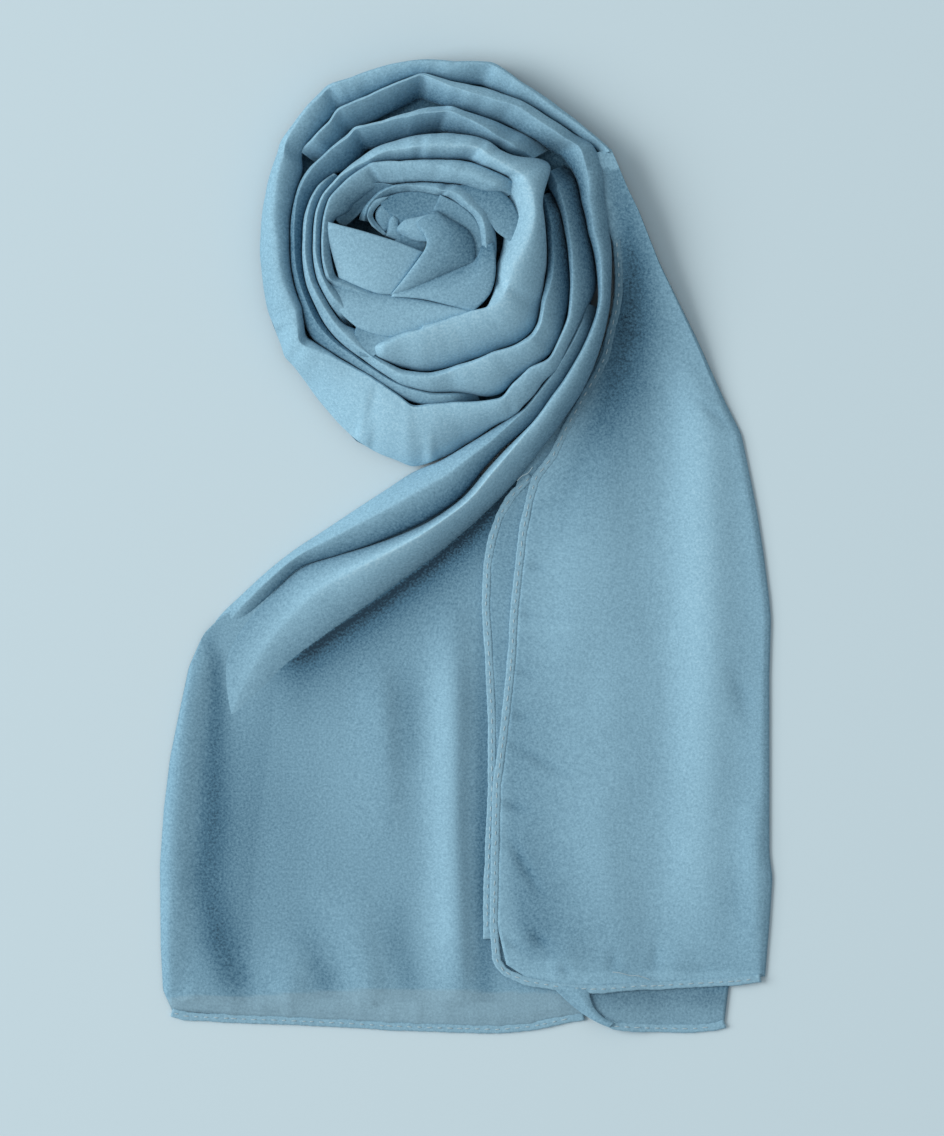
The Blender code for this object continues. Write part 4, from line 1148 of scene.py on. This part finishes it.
def tailPlan(sides, columns, rows):
    top, bottom = easedLine(sides["top"], columns), easedLine(sides["bottom"], columns)
    left, right = easedLine(sides["left"], rows), easedLine(sides["right"], rows)
    plan = []
    for j in range(rows + 1):
        down = j / rows
        line = []
        for i in range(columns + 1):
            across = i / columns
            line.append(tuple(
                (1 - down) * top[i][k] + down * bottom[i][k]
                + (1 - across) * left[j][k] + across * right[j][k]
                - (1 - across) * (1 - down) * top[0][k] - across * (1 - down) * top[-1][k]
                - (1 - across) * down * bottom[0][k] - across * down * bottom[-1][k]
                for k in (0, 1)))
        plan.append(line)
    return plan


def streak(rows, along, across):
    """Height of one soft fold, or one stroke's change of tone in painted light and shade, at a point, read
    from its rows.
    """
    if not rows[0][0] <= along <= rows[-1][0]:
        return 0.0
    middle, left, right, amount = (readRow(rows, along, column) for column in (1, 2, 3, 4))
    half = left if across < middle else right
    return amount * math.exp(-((across - middle) / half) ** 2)


def streaks(tables, x, y):
    return sum(streak(rows, y, x) for rows in tables)


def pucker(rows, x, y):
    total = 0.0
    for fromX, fromY, toX, toY, half, depth in rows:
        runX, runY = toX - fromX, toY - fromY
        length = math.hypot(runX, runY)
        share = ((x - fromX) * runX + (y - fromY) * runY) / length ** 2
        if -0.3 < share < 1.3:
            away = ((x - fromX) * runY - (y - fromY) * runX) / length
            ends = math.exp(-(2.2 * (share - 0.4)) ** 2)
            total -= depth * ends * math.exp(-(away / half) ** 2)
    return total


def rightBase(x, y):
    overLeft = 1.0 - smoothStep((x - step["x"]) / step["runX"])
    overLeft *= 1.0 - smoothStep((y - step["y"]) / step["runY"])
    climb = rise["height"] * smoothStep((y - rise["fromY"]) / (rise["toY"] - rise["fromY"]))
    return 2.0 * layerPitch * overLeft + climb


def leftUpperShape(x, y, across, down):
    edge = smoothStep(across / 0.012) * smoothStep((1.0 - down) / 0.02)
    inside = smoothStep(across / 0.02) * smoothStep((1.0 - down) / 0.02)
    shown = smoothStep((11.0 - x) / 5.0)
    z = 1.3 + layerPitch * edge
    z += streaks(reliefs["left_tail_upper"], x, y) * inside * shown
    z += 0.35 * waver(x * 0.05, y * 0.02, 0.0) * inside * shown
    gather = smoothStep((down - 0.93) / 0.05)
    z += gather * 0.8 * max(0.0, waver(x * 0.11, y * 0.02, 6.0))
    # the shades strokes paint light and shade on the sheet, and darken it where layers show through
    tone = 0.54 + 1.3 * streaks(shades["left_tail_upper"], x, y)
    # painted shadow below fold B, fading away from its lower edge
    below = readRow(shadowLine, x, 1) - y
    ends = smoothStep((x + 140.0) / 44.0) * smoothStep((below + 8.0) / 8.0)
    tone -= 0.98 * ends * math.exp(-max(below, 0.0) / 21.0)
    thin = smoothStep((readRow(sheerLine, x, 1) - y) / 1.2)
    tone += 0.06 * waver(x * 0.02, y * 0.012, 5.0)
    return z, tone + 0.05 * thin, 0.6 * thin


def rightUpperShape(x, y, across, down):
    inside = smoothStep((1.0 - across) / 0.05) * smoothStep(across / 0.05)
    edge = smoothStep((1.0 - across) / 0.025)
    z = (rightBase(x, y) + layerPitch) * edge + 1.3
    z += streaks(reliefs["right_tail_upper"], x, y) * inside
    z += pucker(puckers["right_tail_upper"], x, y) * smoothStep(across / 0.02)
    z += 0.35 * waver(x * 0.05, y * 0.03, 4.0) * inside
    # painted shadow of the rosette on the tail and painted light along its raised fold, from the shades
    # strokes
    tone = 0.68 + streaks(shades["right_tail_upper"], x, y)
    # pucker troughs painted darker as shade, small ridges painted lighter
    tone += 0.16 * pucker(puckers["right_tail_upper"], x, y)
    tone += 0.05 * waver(x * 0.02, y * 0.015, 9.0)
    # painted shade along the right edge, where the tail rolls away from the light
    tone -= 0.16 * smoothStep((across - 0.955) / 0.04)
    return z, tone, 0.0


def leftLowerShape(x, y, across, down):
    return 1.3, 0.45, 0.0


def rightLowerShape(x, y, across, down):
    tone = 0.44 + 0.10 * waver(x * 0.06, y * 0.05, 1.0)
    # painted shadow just below the upper sheet's hem, beside the corner flap
    tone -= 0.26 * smoothStep((y + 301.0) / 12.0) * smoothStep((-270.0 - y) / 8.0)
    return rightBase(x, y) + 1.3, tone, 0.2 * smoothStep((-283.0 - y) / 3.0)


# Takes a sheet's border on, so that it ends inside its hem
def tuckIn(plan, sides):
    def beyond(edge, near):
        length = math.dist(edge, near)
        return tuple(e + hems["tuck"] * (e - n) / length for e, n in zip(edge, near))

    if "left" in sides:
        plan = [[beyond(line[0], line[1])] + line for line in plan]
    if "bottom" in sides:
        plan = plan + [[beyond(a, b) for a, b in zip(plan[-1], plan[-2])]]
    return plan


def makeTails(materials):
    shapes = {"left_tail_upper": leftUpperShape, "left_tail_lower": leftLowerShape,
              "right_tail_upper": rightUpperShape, "right_tail_lower": rightLowerShape}
    for name, tail in tails.items():
        columns, rows = tail["grid"]
        plan = tuckIn(tailPlan(tail, columns, rows), tail["tuck"])
        rows += 1 if "bottom" in tail["tuck"] else 0
        columns += 1 if "left" in tail["tuck"] else 0
        points, tones = [], []
        for j, line in enumerate(plan):
            row, toneRow = [], []
            for i, (x, y) in enumerate(line):
                z, tone, thin = shapes[name](x, y, i / columns, j / rows)
                row.append(put(x, y, z))
                toneRow.append((tone, thin))
            points.append(row)
            tones.append(toneRow)
        piece = meshFromRows(name + "Cloth", points, tones)
        finishCloth(piece, materials["cloth"], wall=0.7, levels=0)
        declare(piece, [name])
        print("made", piece.name, len(piece.data.polygons))


# Rolled hems

hems = {
    "width": 5.4, "height": 1.9, "tuck": 3.0, "stitchPitch": 6.2, "stitchLength": 3.6,
    "right_tail_hem": [
        (95.5, 195), (97, 177), (97, 161), (95, 148), (92, 137), (89, 122), (84, 111),
        (77, 99), (63, 74), (55, 57), (44, 43), (40, 29), (36, 10), (34, -7), (32, -25),
        (30, -44), (29, -66), (27, -88), (25, -106), (23, -125), (19, -154), (18, -198),
        (17, -243), (19, -266), (24, -273), (38, -279), (62, -283), (78, -284), (88, -284),
        (98, -283), (110, -282), (122, -282), (135, -281), (173, -279), (188, -277),
    ],
    "inner_hem": [
        (41, 44), (29, 32), (21, 19), (16, 4), (13, -13), (12, -40), (14, -70), (16, -113),
        (16, -154), (14, -198), (13, -228), (13, -252),
    ],
    "lower_hem": [(87, -304), (95, -308), (115, -309), (144, -309.5), (160, -308),
                  (165, -306)],
    "left_tail_hem": [
        (-189, -299), (-180, -301.5), (-139, -303.5), (-121, -304), (-77, -306),
        (-45, -308), (-17, -309), (21, -310), (42, -308), (65, -303), (75, -301.5),
    ],
}
hemOf = {"right_tail_hem": "right_tail_upper", "inner_hem": "right_tail_lower",
         "lower_hem": "right_tail_lower", "left_tail_hem": "left_tail_upper"}


def hemLevel(name, x, y):
    if name == "left_tail_hem":
        return 0.0
    return rightBase(x, y) + (layerPitch if name == "right_tail_hem" else 0.0)


def makeHems(materials):
    seed = random.Random(7)
    trims = {}
    for name in hemOf:
        length = sum(math.dist(a, b) for a, b in zip(hems[name], hems[name][1:]))
        line = easedLine(hems[name], int(length / 1.6))
        rows = []
        hemTones = []
        middles = []
        for i, (x, y) in enumerate(line):
            # painted shade on the hem where it runs up into the rosette's shadow
            hemTones.append([(0.74 - 0.46 * smoothStep((y - 50.0) / 60.0), 0.08)] * 13)
            before, after = line[max(i - 1, 0)], line[min(i + 1, len(line) - 1)]
            run = Vector((after[0] - before[0], after[1] - before[1])).normalized()
            swell = 1.0 + 0.16 * waver(i * 0.11, 0.0, 0.0, len(name)) + 0.05 * math.sin(i * 1.6)
            lift = 0.35 * waver(i * 0.09, 3.0, 0.0, len(name))
            side = Vector((-run.y, run.x)) * hems["width"] / 2 * swell
            z = hemLevel(name, x, y)
            row = []
            for k in range(13):
                turn = 2.0 * math.pi * k / 12
                wide = math.copysign(abs(math.cos(turn)) ** 0.7, math.cos(turn))
                tall = 0.5 + 0.5 * math.copysign(abs(math.sin(turn)) ** 0.8, math.sin(turn))
                groove = 0.18 if k == 3 else 0.0
                row.append(put(x + wide * side.x, y + wide * side.y,
                               z + (tall - groove) * (hems["height"] + lift) * 0.98))
            rows.append(row)
            middles.append((x, y, z + hems["height"] + lift, run))
        piece = meshFromRows(name + "Roll", rows, hemTones)
        closeTube(piece)
        piece.data.materials.append(materials["hem"])
        stitches = makeStitches(name, middles, materials["thread"], seed)
        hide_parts(name)
        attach(piece, "root")
        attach(stitches, "root")
        trims.setdefault(hemOf[name], []).extend((piece, stitches))
        if name in looseThreads:
            trims[hemOf[name]].append(makeLooseThread(name, materials["thread"]))
    print("made hems")
    return trims


looseThreads = {
    "thick": 0.55,
    "right_tail_hem": [(93, -273.0, 1.2), (98, -273.6, 1.9), (104, -275.2, 1.6),
                       (110, -275.6, 2.0), (117, -278.0, 1.4)],
    "inner_hem": [(32, 41.0, 2.0), (35, 44.0, 4.2), (39, 46.0, 5.0), (42, 50.0, 5.4)],
}


def makeLooseThread(name, material):
    points = looseThreads[name]
    count = 6 * (len(points) - 1)
    rows = []
    for i in range(count + 1):
        x, y, lift = alongCurve(points, i / count)
        ahead, back = (alongCurve(points, min(max(i + k, 0), count) / count) for k in (1, -1))
        run = Vector((ahead[0] - back[0], ahead[1] - back[1])).normalized()
        z = hemLevel(name, x, y) + hems["height"] + lift
        half = looseThreads["thick"] * (0.5 if 0 < i < count else 0.3)
        rows.append([put(x - run.y * half * math.cos(turn), y + run.x * half * math.cos(turn),
                         z + half * math.sin(turn))
                     for turn in (2.0 * math.pi * k / 6 for k in range(7))])
    piece = meshFromRows(name + "Thread", rows)
    closeTube(piece)
    piece.data.materials.append(material)
    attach(piece, "root")
    return piece


def closeTube(piece):
    shape = bmesh.new()
    shape.from_mesh(piece.data)
    bmesh.ops.remove_doubles(shape, verts=shape.verts, dist=0.00001)
    bmesh.ops.holes_fill(shape, edges=[e for e in shape.edges if e.is_boundary], sides=0)
    bmesh.ops.recalc_face_normals(shape, faces=shape.faces)
    shape.to_mesh(piece.data)
    shape.free()
    for face in piece.data.polygons:
        face.use_smooth = True


def makeStitches(name, middles, material, seed):
    shape = bmesh.new()
    every = hems["stitchPitch"] / 1.6
    count = int(len(middles) / every) - 1
    for n in range(count):
        x, y, z, run = middles[int((n + 0.7) * every)]
        made = bmesh.ops.create_icosphere(shape, subdivisions=2, radius=1.0)
        half = hems["stitchLength"] * (0.5 + 0.12 * seed.uniform(-1, 1))
        slant = 0.12 * seed.uniform(-1, 1)
        way = Vector((run.x * math.cos(slant) - run.y * math.sin(slant),
                      run.x * math.sin(slant) + run.y * math.cos(slant)))
        middle = put(x, y, z - 0.35)
        for vertex in made["verts"]:
            a, b, c = vertex.co
            vertex.co = middle + Vector((
                (way.x * a * half - way.y * b * 0.42) * mm,
                (way.y * a * half + way.x * b * 0.42) * mm,
                (c * 0.36 + 0.15 * (1 - a * a)) * mm))
    mesh = bpy.data.meshes.new(name + "Stitches")
    shape.to_mesh(mesh)
    shape.free()
    piece = bpy.data.objects.new(name + "Stitches", mesh)
    bpy.context.scene.collection.objects.link(piece)
    for face in mesh.polygons:
        face.use_smooth = True
    mesh.materials.append(material)
    return piece


flap = [
    (53.5, -282.0, 60, -280.5, 0.50, 7.2, 6.6, 6.6),
    (60, -288.0, 76, -284.0, 0.60, 8.0, 6.8, 7.0),
    (67, -294.5, 79, -290.0, 0.60, 8.3, 6.8, 7.0),
    (75, -300.5, 81.5, -296.0, 0.60, 8.2, 6.8, 7.0),
    (83, -305.2, 87, -301.8, 0.55, 7.8, 6.7, 6.8),
    (91, -308.6, 94, -305.6, 0.50, 7.2, 6.6, 6.6),
]


def makeFlap(materials):
    piece = meshFromRows("cornerFlapCloth", *rowProfiles(flap, 5.4, 8))
    finishCloth(piece, materials["cloth"])
    declare(piece, ["corner_flap"])


def dressCore(material):
    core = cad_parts["rosette_core"]
    for slot in core.material_slots:
        slot.material = material


makeCamera()
makeStudio()
materials = {"cloth": makeCrepe("crepe georgette"), "hem": makeCrepe("rolled georgette", 0.95),
             "thread": makeThread()}
makeTurns(materials)
makeHeart(materials)
trims = makeHems(materials)
makeTails(materials)
makeFlap(materials)
dressCore(materials["cloth"])
